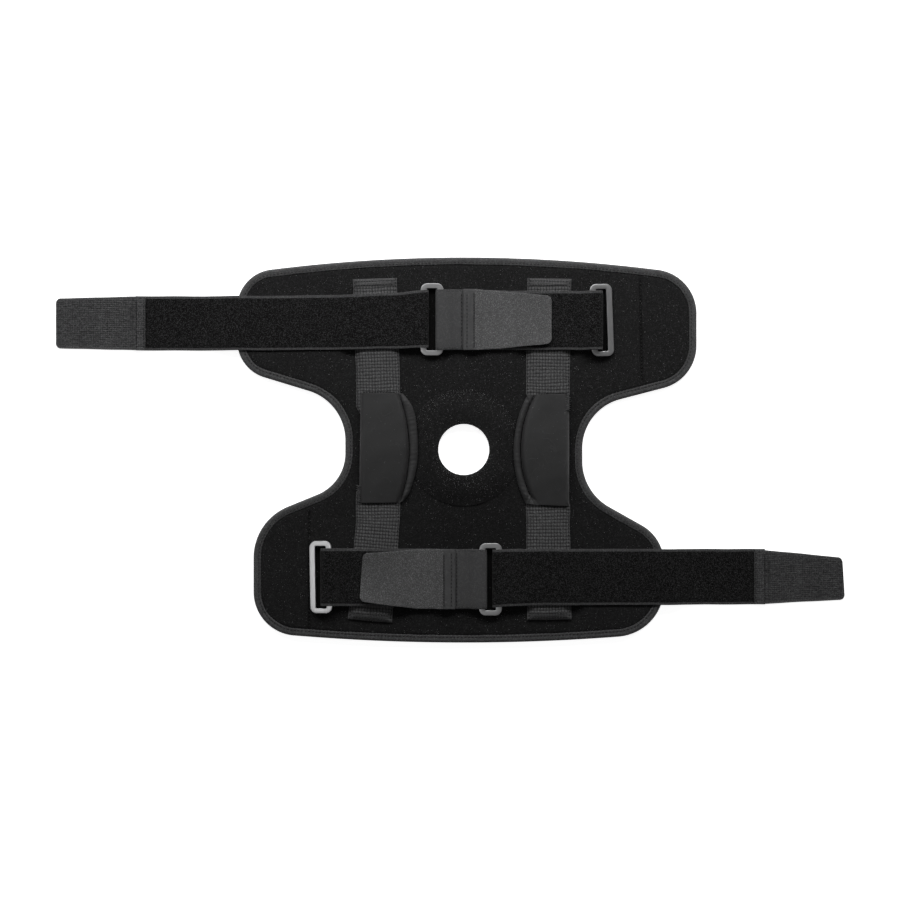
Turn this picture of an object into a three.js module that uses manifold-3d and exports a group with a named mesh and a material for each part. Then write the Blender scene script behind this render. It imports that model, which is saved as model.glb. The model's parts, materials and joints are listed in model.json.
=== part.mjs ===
// Hinged knee brace lying flat with its outer face up.
// Millimetres, +Z up, +X along the straps. Plan positions are measured from the knee-cap hole's centre.
import * as THREE from 'three';
import { mergeVertices } from 'three/addons/utils/BufferGeometryUtils.js';
import ManifoldModule from 'manifold-3d';

// Driving dimensions
const GAP = 0.3;
const ARC_DIVISIONS = 5;

const PANEL_THICKNESS = 4.5;
const HOLE_RADIUS = 23.6;
const HOLE_DIVISIONS = 24;
const PANEL_CORNERS = [
  { name: 'top crown', x: 0, y: 184.8, radius: 1394 },
  { name: 'upper right top', x: 212, y: 159.6, radius: 40 },
  { name: 'upper right low', x: 212, y: 63.8, radius: 40 },
  { name: 'right waist top', x: 108, y: 36.7, radius: 43 },
  { name: 'right waist low', x: 108, y: -38.5, radius: 48 },
  { name: 'lower right top', x: 182.5, y: -80.4, radius: 40 },
  { name: 'lower right low', x: 182.5, y: -167.4, radius: 45 },
  { name: 'bottom crown', x: 0, y: -181.1, radius: 1850 },
  { name: 'lower left low', x: -191.5, y: -166.7, radius: 40 },
  { name: 'lower left top', x: -191.5, y: -64.8, radius: 50 },
  { name: 'left waist low', x: -106.7, y: -30, radius: 38 },
  { name: 'left waist top', x: -106.7, y: 42.6, radius: 44 },
  { name: 'upper left low', x: -206.5, y: 73.2, radius: 35 },
  { name: 'upper left top', x: -206.5, y: 160.3, radius: 35 },
];

const BINDING_WIDTH = 6;
const BINDING_TAPE = 0.8;
const BINDING_LOW = 0.3;
const BINDING_HIGH = 4.9;

const RING_PAD_RADIUS = 51.5;
const RING_PAD_THICKNESS = 1.2;

const SLEEVE_WIDTH = 40;
const SLEEVE_THICKNESS = 2.8;
const SLEEVE_STEPS = 12;
const SLEEVE_LINES = {
  left: [
    { x: -79.9, y: 155.5 },
    { x: -76, y: 51 },
    { x: -77.6, y: -49 },
    { x: -85.4, y: -156 },
  ],
  right: [
    { x: 77.5, y: 155.5 },
    { x: 77.5, y: -155 },
  ],
};

// Each cover has a straight outer edge and a groove curved towards the knee cap, with a rim beyond it.
const COVERS = {
  left: {
    outer: [{ x: -93.6, y: 51.3 }, { x: -96, y: -48.9 }],
    groove: [{ x: -59.4, y: 50.8 }, { x: -47.8, y: 0 }, { x: -58.5, y: -48 }],
    rim: [{ x: -54.5, y: 50 }, { x: -41.7, y: 0 }, { x: -54.6, y: -46.5 }],
  },
  right: {
    outer: [{ x: 97.1, y: 50.8 }, { x: 97.1, y: -51.5 }],
    groove: [{ x: 64.7, y: 49.3 }, { x: 52, y: 0 }, { x: 64.7, y: -49 }],
    rim: [{ x: 58, y: 50 }, { x: 45.2, y: 0 }, { x: 56.5, y: -49.5 }],
  },
};
const COVER_DIVISIONS = 8;
// Dome sections: share of the footprint's size, and height above the panel's face.
const COVER_SECTIONS = [
  { share: 1, height: 4.4 },
  { share: 0.95, height: 5.9 },
  { share: 0.84, height: 7.3 },
  { share: 0.6, height: 8.3 },
  { share: 0.3, height: 8.7 },
];
const RIM_SECTIONS = [
  { share: 1, height: 1.9 },
  { share: 0.6, height: 2.9 },
];

const STRAP_THICKNESS = 1.4;
const RING_WIDTH = 20.5;
const RING_HEIGHT = 65.6;
const RING_THICKNESS = 2.2;
const RING_LONG_BAR = 5.4;
const RING_SHORT_BAR = 4.6;
const RING_CORNER = 5;
const RING_SLOT_CORNER = 1;
const RING_BEVEL = 0.5;
const RING_DIVISIONS = 3;
const EYE_CLEARANCE = 0.33;

// Lengths along a strap
const PAST_EDGE = 1;
const FLOOR_BEND = 31;
const BINDING_BEND = 6;
const SLEEVE_BEND = 13;
const RING_BEND = 9;
const RETURN_GAP = 3;
const STITCH_FROM_PIVOT = 14;
const RETURN_FROM_PIVOT = 16.5;
const FOLD_BEND = 13;
const SEAM_MARGIN = 0.8;
const TAB_MARGIN = 1.3;
const TAB_BEND = 9;
const TAIL_BEND = 6;
const TAB_CORNER = 3.5;
const TAIL_CORNER = 2.5;
const TIP_STEPS = 4;

// u runs along a strap from its tail to its end ring: +X on the upper strap and -X on the lower one.
// low and high are the y of a tape's two edges.
const STRAPS = [
  {
    name: 'upper',
    along: 1,
    longSleeve: 'left',
    shortSleeve: 'right',
    panelEdge: -206.5,
    tailEnd: -370.6,
    strapStart: -298.7,
    tailStop: -290,
    innerRing: { u: -28.9, y: 118.2 },
    seam: { from: 0.8, to: 9.1 },
    tabEnd: 80.4,
    endFold: 125.1,
    endRing: { u: 125.5, y: 117.3, yaw: 2.2 },
    tail: [{ u: -370.6, low: 92.2, high: 137.8 }, { u: -290, low: 90.2, high: 139.8 }],
    long: [
      { u: -298.7, low: 90.2, high: 139.8 },
      { u: -170, low: 90.2, high: 139.8 },
      { u: -103, low: 91, high: 140.6 },
      { u: -30, low: 93.5, high: 143.5 },
    ],
    short: [{ u: -30, low: 90.5, high: 144.5 }, { u: 126, low: 90.4, high: 143.9 }],
    tab: [
      { u: -1, low: 90.2, high: 145.7 },
      { u: 9.1, low: 90.2, high: 145.7 },
      { u: 80.4, low: 96.2, high: 140.3 },
    ],
  },
  {
    name: 'lower',
    along: -1,
    longSleeve: 'right',
    shortSleeve: 'left',
    panelEdge: -182.5,
    tailEnd: -345.5,
    strapStart: -274.6,
    tailStop: -264.5,
    innerRing: { u: -24.3, y: -117.9 },
    seam: { from: 9.2, to: 17.9 },
    tabEnd: 93.4,
    endFold: 129.6,
    endRing: { u: 130, y: -115.8, yaw: 1.1 },
    tail: [{ u: -345.5, low: -137, high: -98.6 }, { u: -264.5, low: -141.2, high: -90.6 }],
    long: [{ u: -274.6, low: -141.2, high: -90.6 }, { u: -25, low: -142, high: -90.2 }],
    short: [{ u: -27, low: -143.2, high: -91 }, { u: 131, low: -142, high: -89.8 }],
    tab: [
      { u: 8, low: -145.1, high: -90.5 },
      { u: 17.9, low: -145.1, high: -90.5 },
      { u: 93.4, low: -138.4, high: -94.5 },
    ],
  },
];

// Heights that follow from the thicknesses
const FACE = PANEL_THICKNESS + GAP;
const HALF_STRAP = STRAP_THICKNESS / 2;
const LAYER = STRAP_THICKNESS + GAP;
const SLEEVE_TOP = FACE + SLEEVE_THICKNESS;
const ON_FLOOR = HALF_STRAP;
const ON_BINDING = BINDING_HIGH + GAP + HALF_STRAP;
const ON_PANEL = FACE + HALF_STRAP;
const ON_SLEEVE = SLEEVE_TOP + GAP + HALF_STRAP;
const FOLD_RADIUS = RING_THICKNESS / 2 + GAP + HALF_STRAP;
const INNER_RING_Z = ON_PANEL + FOLD_RADIUS;
const OVER_RING = INNER_RING_Z + FOLD_RADIUS;
const EYE_RADIUS = Math.hypot(RING_LONG_BAR, RING_THICKNESS) / 2 + EYE_CLEARANCE + HALF_STRAP;
const PIVOT_Z = ON_PANEL + EYE_RADIUS;
const OVER_EYE = PIVOT_Z + EYE_RADIUS;
const PIVOT_FROM_CENTRE = (RING_WIDTH - RING_LONG_BAR) / 2;

const wasm = await ManifoldModule();
wasm.setup();

// Closed solids for joins and cuts
function toSolid(geometry) {
  const bare = geometry.clone();
  bare.deleteAttribute('normal');
  bare.deleteAttribute('uv');
  const merged = mergeVertices(bare);
  const mesh = new wasm.Mesh({
    numProp: 3,
    vertProperties: new Float32Array(merged.attributes.position.array),
    triVerts: new Uint32Array(merged.index.array),
  });
  return new wasm.Manifold(mesh);
}

function toGeometry(solid) {
  const mesh = solid.getMesh();
  const geometry = new THREE.BufferGeometry();
  geometry.setAttribute('position', new THREE.BufferAttribute(new Float32Array(mesh.vertProperties), 3));
  geometry.setIndex([...mesh.triVerts]);
  geometry.computeVertexNormals();
  return geometry;
}

function prism(shape, low, high, divisions = ARC_DIVISIONS) {
  const options = { depth: high - low, bevelEnabled: false, curveSegments: divisions };
  return new THREE.ExtrudeGeometry(shape, options).translate(0, 0, low);
}

// A closed body through rings with equal numbers of points. cap holds the triangles of an end face.
function loft(rings, cap, forward = true) {
  const count = rings[0].length;
  const index = [];
  const face = (a, b, c) => index.push(...(forward ? [a, b, c] : [a, c, b]));
  for (let ring = 0; ring + 1 < rings.length; ring += 1) {
    for (let i = 0; i < count; i += 1) {
      const a = ring * count + i;
      const b = ring * count + (i + 1) % count;
      face(a, b, b + count);
      face(a, b + count, a + count);
    }
  }
  const last = (rings.length - 1) * count;
  for (const [a, b, c] of cap) {
    face(c, b, a);
    face(a + last, b + last, c + last);
  }
  const positions = rings.flat().flatMap((point) => [point.x, point.y, point.z]);
  const geometry = new THREE.BufferGeometry();
  geometry.setAttribute('position', new THREE.Float32BufferAttribute(positions, 3));
  geometry.setIndex(index);
  geometry.computeVertexNormals();
  return geometry;
}

// Circle through three points, drawn from the first to the last.
function arcThrough(path, [first, middle, last]) {
  const ahead = { x: middle.x - first.x, y: middle.y - first.y };
  const across = { x: last.x - first.x, y: last.y - first.y };
  const turn = 2 * (ahead.x * across.y - ahead.y * across.x);
  const aheadSquared = ahead.x ** 2 + ahead.y ** 2;
  const acrossSquared = across.x ** 2 + across.y ** 2;
  const cx = first.x + (aheadSquared * across.y - acrossSquared * ahead.y) / turn;
  const cy = first.y + (acrossSquared * ahead.x - aheadSquared * across.x) / turn;
  const angle = (point) => Math.atan2(point.y - cy, point.x - cx);
  path.absarc(cx, cy, Math.hypot(first.x - cx, first.y - cy), angle(first), angle(last), turn < 0);
}

// The panel's outline moved inwards by inset, with its round corners kept concentric.
function panelOutline(inset) {
  const shape = new THREE.Shape();
  const corners = PANEL_CORNERS.map(({ x, y }) => new THREE.Vector2(x, y));
  const count = corners.length;
  corners.forEach((corner, i) => {
    const into = corner.clone().sub(corners[(i + count - 1) % count]).normalize();
    const out = corners[(i + 1) % count].clone().sub(corner).normalize();
    const inwardIn = new THREE.Vector2(into.y, -into.x);
    const inwardOut = new THREE.Vector2(out.y, -out.x);
    const toCentre = inwardIn.clone().add(inwardOut).divideScalar(1 + inwardIn.dot(inwardOut));
    const convex = into.cross(out) < 0;
    const side = convex ? 1 : -1;
    const centre = corner.clone().addScaledVector(toCentre, side * PANEL_CORNERS[i].radius);
    const start = inwardIn.multiplyScalar(-side).angle();
    const end = inwardOut.multiplyScalar(-side).angle();
    const radius = PANEL_CORNERS[i].radius - side * inset;
    shape.absarc(centre.x, centre.y, radius, start, end, convex);
  });
  return shape;
}

function circlePath(radius) {
  return new THREE.Path().absarc(0, 0, radius, 0, 2 * Math.PI, true);
}

function circleShape(radius) {
  return new THREE.Shape().absarc(0, 0, radius, 0, 2 * Math.PI, false);
}

function wrapPanel() {
  const core = toSolid(prism(panelOutline(BINDING_WIDTH + GAP), 0, PANEL_THICKNESS));
  const edgeLow = BINDING_LOW + BINDING_TAPE + GAP;
  const edgeHigh = BINDING_HIGH - BINDING_TAPE - GAP;
  const edge = toSolid(prism(panelOutline(BINDING_TAPE + GAP), edgeLow, edgeHigh));
  const hole = toSolid(prism(circleShape(HOLE_RADIUS), -1, PANEL_THICKNESS + 1, HOLE_DIVISIONS));
  return toGeometry(core.add(edge).subtract(hole));
}

function edgeBinding() {
  const outer = toSolid(prism(panelOutline(0), BINDING_LOW, BINDING_HIGH));
  const inner = toSolid(prism(panelOutline(BINDING_WIDTH), BINDING_LOW - 1, BINDING_HIGH + 1));
  const fold = panelOutline(BINDING_TAPE);
  const channel = toSolid(prism(fold, BINDING_LOW + BINDING_TAPE, BINDING_HIGH - BINDING_TAPE));
  return toGeometry(outer.subtract(inner).subtract(channel));
}

function sleeveCurve(side) {
  return new THREE.SplineCurve(SLEEVE_LINES[side].map(({ x, y }) => new THREE.Vector2(x, y)));
}

function sleeveGeometry(side, width, low, high) {
  const steps = SLEEVE_LINES[side].length > 2 ? SLEEVE_STEPS : 1;
  const line = sleeveCurve(side).getPoints(steps);
  const edge = (shift) => line.map((point) => new THREE.Vector2(point.x + shift, point.y));
  const outline = [...edge(-width / 2).reverse(), ...edge(width / 2)];
  return prism(new THREE.Shape(outline), low, high);
}

// Where the sleeve's two edges lie along a strap that crosses it between two heights of y.
function sleeveSpan(side, along, low, high) {
  const points = sleeveCurve(side).getPoints(4 * SLEEVE_STEPS);
  const crossed = points.filter((point) => point.y > low && point.y < high);
  const us = crossed.map((point) => along * point.x);
  return { from: Math.min(...us) - SLEEVE_WIDTH / 2, to: Math.max(...us) + SLEEVE_WIDTH / 2 };
}

function coverShape(side) {
  const { outer, groove } = COVERS[side];
  const shape = new THREE.Shape();
  const inset = side === 'left' ? -GAP : GAP;
  arcThrough(shape, groove.map(({ x, y }) => ({ x: x + inset, y })));
  shape.lineTo(outer[1].x, outer[1].y);
  shape.lineTo(outer[0].x, outer[0].y);
  return shape;
}

function rimShape(side) {
  const { groove, rim } = COVERS[side];
  const shape = new THREE.Shape();
  arcThrough(shape, groove);
  arcThrough(shape, [...rim].reverse());
  return shape;
}

// The cover and its rim together, grown by the gap, as the ring pad has to clear them.
function coverClearance(side) {
  const { outer, rim } = COVERS[side];
  const towardsKnee = side === 'left' ? GAP : -GAP;
  const shape = new THREE.Shape();
  arcThrough(shape, rim.map(({ x, y }) => ({ x: x + towardsKnee, y: y + Math.sign(y) * GAP })));
  shape.lineTo(outer[1].x, outer[1].y - GAP);
  shape.lineTo(outer[0].x, outer[0].y + GAP);
  return toSolid(prism(shape, 0, FACE + RING_PAD_THICKNESS + 1));
}

function openPoints(shape) {
  const points = shape.getPoints(COVER_DIVISIONS);
  if (points[0].distanceTo(points.at(-1)) < GAP) {
    points.pop();
  }
  return THREE.ShapeUtils.isClockWise(points) ? points.reverse() : points;
}

// A rounded body over a footprint that shrinks towards its middle line as it rises.
function dome(points, sections, shrink) {
  const ring = (share, z) => points.map((point) => {
    const centre = shrink(point);
    return new THREE.Vector3(
      centre.x + (point.x - centre.x) * share,
      centre.y + (point.y - centre.y) * share,
      z,
    );
  });
  const rings = sections.map(({ share, height }) => ring(share, PANEL_THICKNESS + height));
  return loft([ring(1, FACE), ...rings], THREE.ShapeUtils.triangulateShape(points, []));
}

function hingeCover(side) {
  const points = openPoints(coverShape(side));
  const box = new THREE.Box2().setFromPoints(points);
  const centre = box.getCenter(new THREE.Vector2());
  const body = toSolid(dome(points, COVER_SECTIONS, () => centre));
  const sleeve = toSolid(sleeveGeometry(side, SLEEVE_WIDTH + 2 * GAP, 0, SLEEVE_TOP + GAP));
  return toGeometry(body.subtract(sleeve));
}

function hingeRim(side) {
  const points = openPoints(rimShape(side));
  const half = COVERS[side].groove.map((point, i) => ({
    x: (point.x + COVERS[side].rim[i].x) / 2,
    y: (point.y + COVERS[side].rim[i].y) / 2,
  }));
  const ridge = new THREE.Shape();
  arcThrough(ridge, half);
  const line = ridge.getPoints(2 * ARC_DIVISIONS);
  const nearest = (point) => line.reduce((best, other) => (
    other.distanceTo(point) < best.distanceTo(point) ? other : best));
  const body = toSolid(dome(points, RIM_SECTIONS, nearest));
  const sleeve = toSolid(sleeveGeometry(side, SLEEVE_WIDTH + 2 * GAP, 0, SLEEVE_TOP + GAP));
  return toGeometry(body.subtract(sleeve));
}

function patellaRing() {
  const shape = circleShape(RING_PAD_RADIUS);
  shape.holes.push(circlePath(HOLE_RADIUS));
  const pad = toSolid(prism(shape, FACE, FACE + RING_PAD_THICKNESS, HOLE_DIVISIONS));
  return toGeometry(pad.subtract(coverClearance('left')).subtract(coverClearance('right')));
}

// An S-shaped bend from where the path has come to, to a new height.
function bend(path, u, z) {
  const from = path.currentPoint.clone();
  const middle = (from.x + u) / 2;
  path.bezierCurveTo(middle, from.y, middle, z, u, z);
}

// Steps towards a rounded tip, closer together where its corners turn in.
function tipSteps(tip, inward, radius) {
  const turns = Array.from({ length: TIP_STEPS + 1 }, (_, step) => (step / TIP_STEPS) * (Math.PI / 2));
  return turns.map((turn) => tip + inward * radius * (1 - Math.cos(turn)));
}

function edgesAt(rows, u) {
  const next = rows.findIndex((row) => row.u >= u);
  if (next <= 0) {
    const row = next === 0 ? rows[0] : rows.at(-1);
    return [row.low, row.high];
  }
  const [before, after] = [rows[next - 1], rows[next]];
  const share = (u - before.u) / (after.u - before.u);
  return [
    THREE.MathUtils.lerp(before.low, after.low, share),
    THREE.MathUtils.lerp(before.high, after.high, share),
  ];
}

// How far a round corner draws a tape's edges in, at a distance from its tip.
function cornerInset(tip, u) {
  const short = tip ? Math.max(tip.radius - Math.abs(u - tip.u), 0) : 0;
  return tip ? tip.radius - Math.sqrt(tip.radius ** 2 - short ** 2) : 0;
}

// A tape of even thickness along a mid-line in the plane of u and z.
function tape(strap, path, rows, tip = null) {
  const points = path.getPoints(ARC_DIVISIONS);
  const rings = points.map((point, i) => {
    const before = points[Math.max(i - 1, 0)];
    const after = points[Math.min(i + 1, points.length - 1)];
    const tangent = after.clone().sub(before).normalize();
    const normal = new THREE.Vector2(-tangent.y, tangent.x).multiplyScalar(HALF_STRAP);
    const inset = cornerInset(tip, point.x);
    const [low, high] = edgesAt(rows, point.x);
    return [[1, low + inset], [1, high - inset], [-1, high - inset], [-1, low + inset]].map(([side, y]) => (
      new THREE.Vector3(strap.along * (point.x + side * normal.x), y, point.y + side * normal.y)));
  });
  return loft(rings, [[0, 1, 2], [0, 2, 3]], strap.along < 0);
}

function spanUnder(strap, side, rows) {
  const low = Math.min(...rows.map((row) => row.low));
  const high = Math.max(...rows.map((row) => row.high));
  return sleeveSpan(side, strap.along, low, high);
}

// Lies on the floor, climbs the panel's edge and a sleeve, and folds round the inner ring's near bar.
function longStrap(strap) {
  const sleeve = spanUnder(strap, strap.longSleeve, strap.long);
  const bar = strap.innerRing.u - RING_WIDTH / 2 + RING_LONG_BAR;
  const fold = bar - RING_THICKNESS / 2;
  const bindingEnd = strap.panelEdge + BINDING_WIDTH;
  const path = new THREE.Path();
  path.moveTo(strap.strapStart, ON_FLOOR);
  path.lineTo(strap.panelEdge - PAST_EDGE - FLOOR_BEND, ON_FLOOR);
  bend(path, strap.panelEdge - PAST_EDGE, ON_BINDING);
  path.lineTo(bindingEnd + PAST_EDGE, ON_BINDING);
  bend(path, bindingEnd + PAST_EDGE + BINDING_BEND, ON_PANEL);
  path.lineTo(sleeve.from - PAST_EDGE - SLEEVE_BEND, ON_PANEL);
  bend(path, sleeve.from - PAST_EDGE, ON_SLEEVE);
  path.lineTo(sleeve.to + PAST_EDGE, ON_SLEEVE);
  bend(path, sleeve.to + PAST_EDGE + RING_BEND, OVER_RING);
  path.lineTo(fold, OVER_RING);
  path.absarc(fold, INNER_RING_Z, FOLD_RADIUS, Math.PI / 2, -Math.PI / 2, true);
  path.lineTo(sleeve.to + RETURN_GAP, ON_PANEL);
  return tape(strap, path, strap.long);
}

// Starts under itself at the end ring, makes an open eye for the ring's bar, crosses a sleeve,
// passes under the inner ring's far bar and comes back over it to the tab's seam.
function shortStrap(strap) {
  const sleeve = spanUnder(strap, strap.shortSleeve, strap.short);
  const pivot = strap.endRing.u - PIVOT_FROM_CENTRE;
  const eye = strap.endFold - EYE_RADIUS - HALF_STRAP;
  const ringEdge = strap.innerRing.u + RING_WIDTH / 2;
  const fold = ringEdge - RING_LONG_BAR + RING_THICKNESS / 2;
  const path = new THREE.Path();
  path.moveTo(pivot - RETURN_FROM_PIVOT, ON_PANEL);
  path.lineTo(eye, ON_PANEL);
  path.absarc(eye, PIVOT_Z, EYE_RADIUS, -Math.PI / 2, Math.PI / 2, false);
  path.lineTo(pivot - PAST_EDGE, OVER_EYE);
  bend(path, pivot - STITCH_FROM_PIVOT, ON_PANEL + LAYER);
  bend(path, sleeve.to + PAST_EDGE, ON_SLEEVE);
  path.lineTo(sleeve.from - PAST_EDGE, ON_SLEEVE);
  bend(path, sleeve.from - PAST_EDGE - SLEEVE_BEND, ON_PANEL);
  path.lineTo(fold, ON_PANEL);
  path.absarc(fold, INNER_RING_Z, FOLD_RADIUS, -Math.PI / 2, Math.PI / 2, true);
  path.lineTo(ringEdge + PAST_EDGE, OVER_RING);
  bend(path, ringEdge + PAST_EDGE + FOLD_BEND, ON_PANEL + LAYER);
  path.lineTo(strap.seam.to + SEAM_MARGIN, ON_PANEL + LAYER);
  return tape(strap, path, strap.short);
}

// Sewn on the short strap's end, then lying on the strap and over the sleeve.
function pullTab(strap) {
  const sleeve = spanUnder(strap, strap.shortSleeve, strap.short);
  const path = new THREE.Path();
  path.moveTo(strap.seam.from - TAB_MARGIN, ON_PANEL + 2 * LAYER);
  path.lineTo(strap.seam.to + TAB_MARGIN, ON_PANEL + 2 * LAYER);
  bend(path, strap.seam.to + TAB_MARGIN + TAB_BEND, ON_PANEL + LAYER);
  path.lineTo(sleeve.from - PAST_EDGE - SLEEVE_BEND, ON_PANEL + LAYER);
  bend(path, sleeve.from - PAST_EDGE, ON_SLEEVE + LAYER);
  for (const u of tipSteps(strap.tabEnd, -1, TAB_CORNER).reverse()) {
    path.lineTo(u, ON_SLEEVE + LAYER);
  }
  return tape(strap, path, strap.tab, { u: strap.tabEnd, radius: TAB_CORNER });
}

// The hook tape lies on the floor and overlaps the strap's end.
function hookTail(strap) {
  const [tip, ...steps] = tipSteps(strap.tailEnd, 1, TAIL_CORNER);
  const path = new THREE.Path();
  path.moveTo(tip, ON_FLOOR);
  for (const u of steps) {
    path.lineTo(u, ON_FLOOR);
  }
  path.lineTo(strap.strapStart - PAST_EDGE - TAIL_BEND, ON_FLOOR);
  bend(path, strap.strapStart - PAST_EDGE, ON_FLOOR + LAYER);
  path.lineTo(strap.tailStop, ON_FLOOR + LAYER);
  return tape(strap, path, strap.tail, { u: strap.tailEnd, radius: TAIL_CORNER });
}

function roundedRectangle(target, width, height, radius) {
  const x = width / 2 - radius;
  const y = height / 2 - radius;
  const corners = [{ x, y }, { x: -x, y }, { x: -x, y: -y }, { x, y: -y }];
  corners.forEach((corner, i) => {
    target.absarc(corner.x, corner.y, radius, (i * Math.PI) / 2, ((i + 1) * Math.PI) / 2, false);
  });
  return target;
}

// A flat ring with a rectangular slot, its own middle at the origin.
function ringGeometry() {
  const shape = roundedRectangle(new THREE.Shape(), RING_WIDTH, RING_HEIGHT, RING_CORNER);
  const slotWidth = RING_WIDTH - 2 * RING_LONG_BAR;
  const slotHeight = RING_HEIGHT - 2 * RING_SHORT_BAR;
  shape.holes.push(roundedRectangle(new THREE.Path(), slotWidth, slotHeight, RING_SLOT_CORNER));
  const options = {
    depth: RING_THICKNESS - 2 * RING_BEVEL,
    curveSegments: RING_DIVISIONS,
    bevelSegments: 1,
    bevelThickness: RING_BEVEL,
    bevelSize: RING_BEVEL,
    bevelOffset: -RING_BEVEL,
  };
  return new THREE.ExtrudeGeometry(shape, options).translate(0, 0, RING_BEVEL - RING_THICKNESS / 2);
}

// Lies on the panel at its free bar and turns on the bar that the strap's eye holds.
function endRing(strap, material) {
  const reach = RING_WIDTH - RING_LONG_BAR / 2;
  const tilt = Math.asin((PIVOT_Z - FACE - RING_THICKNESS / 2) / reach);
  const mesh = new THREE.Mesh(ringGeometry().translate(strap.along * PIVOT_FROM_CENTRE, 0, 0), material);
  mesh.name = `${strap.name}_end_ring`;
  mesh.rotation.y = strap.along * tilt;
  const pivot = new THREE.Group();
  pivot.position.set(strap.along * (strap.endRing.u - PIVOT_FROM_CENTRE), strap.endRing.y, PIVOT_Z);
  pivot.rotation.z = THREE.MathUtils.degToRad(strap.endRing.yaw);
  pivot.add(mesh);
  return pivot;
}

function innerRing(strap, material) {
  const mesh = new THREE.Mesh(ringGeometry(), material);
  mesh.name = `${strap.name}_inner_ring`;
  mesh.position.set(strap.along * strap.innerRing.u, strap.innerRing.y, INNER_RING_Z);
  return mesh;
}

function finish(color, roughness, metalness = 0) {
  return new THREE.MeshStandardMaterial({ color, roughness, metalness });
}

const FINISHES = {
  plush: () => finish(0x1c1c1d, 0.95),
  binding: () => finish(0x3a3a3b, 0.85),
  webbing: () => finish(0x3d3d3e, 0.85),
  cover: () => finish(0x2f2f30, 0.7),
  strap: () => finish(0x1a1a1b, 0.9),
  hookTape: () => finish(0x3a3a3b, 0.75),
  tab: () => finish(0x4a4a4c, 0.8),
  metal: () => finish(0x9a9a9c, 0.4, 1),
};

function piece(name, geometry, material) {
  const mesh = new THREE.Mesh(geometry, material);
  mesh.name = name;
  return mesh;
}

const brace = new THREE.Group();
brace.add(piece('wrap_panel', wrapPanel(), FINISHES.plush()));
brace.add(piece('edge_binding', edgeBinding(), FINISHES.binding()));
brace.add(piece('patella_ring', patellaRing(), FINISHES.plush()));
for (const side of ['left', 'right']) {
  const sleeve = sleeveGeometry(side, SLEEVE_WIDTH, FACE, SLEEVE_TOP);
  brace.add(piece(`hinge_sleeve_${side}`, sleeve, FINISHES.webbing()));
  brace.add(piece(`hinge_cover_${side}`, hingeCover(side), FINISHES.cover()));
  brace.add(piece(`hinge_rim_${side}`, hingeRim(side), FINISHES.cover()));
}
for (const strap of STRAPS) {
  brace.add(piece(`${strap.name}_long_strap`, longStrap(strap), FINISHES.strap()));
  brace.add(piece(`${strap.name}_hook_tail`, hookTail(strap), FINISHES.hookTape()));
  brace.add(piece(`${strap.name}_short_strap`, shortStrap(strap), FINISHES.strap()));
  brace.add(piece(`${strap.name}_pull_tab`, pullTab(strap), FINISHES.tab()));
  brace.add(innerRing(strap, FINISHES.metal()));
  brace.add(endRing(strap, FINISHES.metal()));
}

// The whole brace stands with the middle of its box over the origin.
const middle = new THREE.Box3().setFromObject(brace).getCenter(new THREE.Vector3());
brace.position.set(-middle.x, -middle.y, 0);
const model = new THREE.Group();
model.add(brace);

export default model;
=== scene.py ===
"""Looks of a hinged knee brace that lies flat with its outer face up.

Shapes are worked out in millimetres about the middle of the knee-cap hole, with +X along the straps and
+Z up. make_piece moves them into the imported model's frame, in metres.
"""

import json
import math
from collections import namedtuple

import bpy
import numpy as np
from bpy.props import FloatProperty, FloatVectorProperty, IntProperty, PointerProperty
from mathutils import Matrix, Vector
from mathutils.geometry import delaunay_2d_cdt


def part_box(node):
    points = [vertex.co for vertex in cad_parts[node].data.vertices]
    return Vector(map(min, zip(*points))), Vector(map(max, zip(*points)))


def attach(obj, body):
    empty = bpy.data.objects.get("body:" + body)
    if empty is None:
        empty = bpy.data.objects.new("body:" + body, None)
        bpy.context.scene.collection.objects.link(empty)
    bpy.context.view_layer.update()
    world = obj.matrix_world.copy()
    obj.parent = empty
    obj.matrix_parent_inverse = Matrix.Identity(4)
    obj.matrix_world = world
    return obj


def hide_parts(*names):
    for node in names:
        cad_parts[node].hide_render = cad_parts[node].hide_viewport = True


bl_info = {
    "name": "Hinged knee brace",
    "version": (1, 0, 0),
    "blender": (4, 5, 0),
    "location": "3D View > Sidebar > Knee brace",
    "description": "Builds the cloth, padding, stitching and metal of a knee brace around its frame",
    "category": "Object",
}

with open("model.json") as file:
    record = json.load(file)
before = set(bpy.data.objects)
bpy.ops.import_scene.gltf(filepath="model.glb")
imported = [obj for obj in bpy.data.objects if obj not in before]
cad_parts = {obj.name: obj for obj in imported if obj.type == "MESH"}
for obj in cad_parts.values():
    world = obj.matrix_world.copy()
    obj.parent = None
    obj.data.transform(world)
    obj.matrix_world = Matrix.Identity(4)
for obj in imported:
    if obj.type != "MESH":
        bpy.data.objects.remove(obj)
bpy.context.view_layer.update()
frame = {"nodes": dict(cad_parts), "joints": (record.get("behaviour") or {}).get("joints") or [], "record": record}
MM = 0.001
BRACE = "brace"


# Places read from the frame

def opening_middle(name):
    """Middle of one of the record's openings, in metres."""
    for opening in frame["record"]["physics"]["openings"]:
        if opening["name"] == name:
            return np.mean(opening["box_m"], axis=0)
    raise ValueError(f"the record has no opening named {name}")


HOLE = opening_middle("knee_cap_hole") * (1, 1, 0)


def node_box(node):
    """Lowest and highest corner of a CAD node in millimetres about the knee-cap hole."""
    low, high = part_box(node)
    return (np.array(low) - HOLE) / MM, (np.array(high) - HOLE) / MM


def joint_place(name):
    """Where a joint turns, in millimetres about the knee-cap hole."""
    for joint in frame["joints"]:
        if joint["name"] == name:
            return (np.array(joint["pos_m"]) - HOLE) / MM
    raise ValueError(f"the frame has no joint named {name}")


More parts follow.
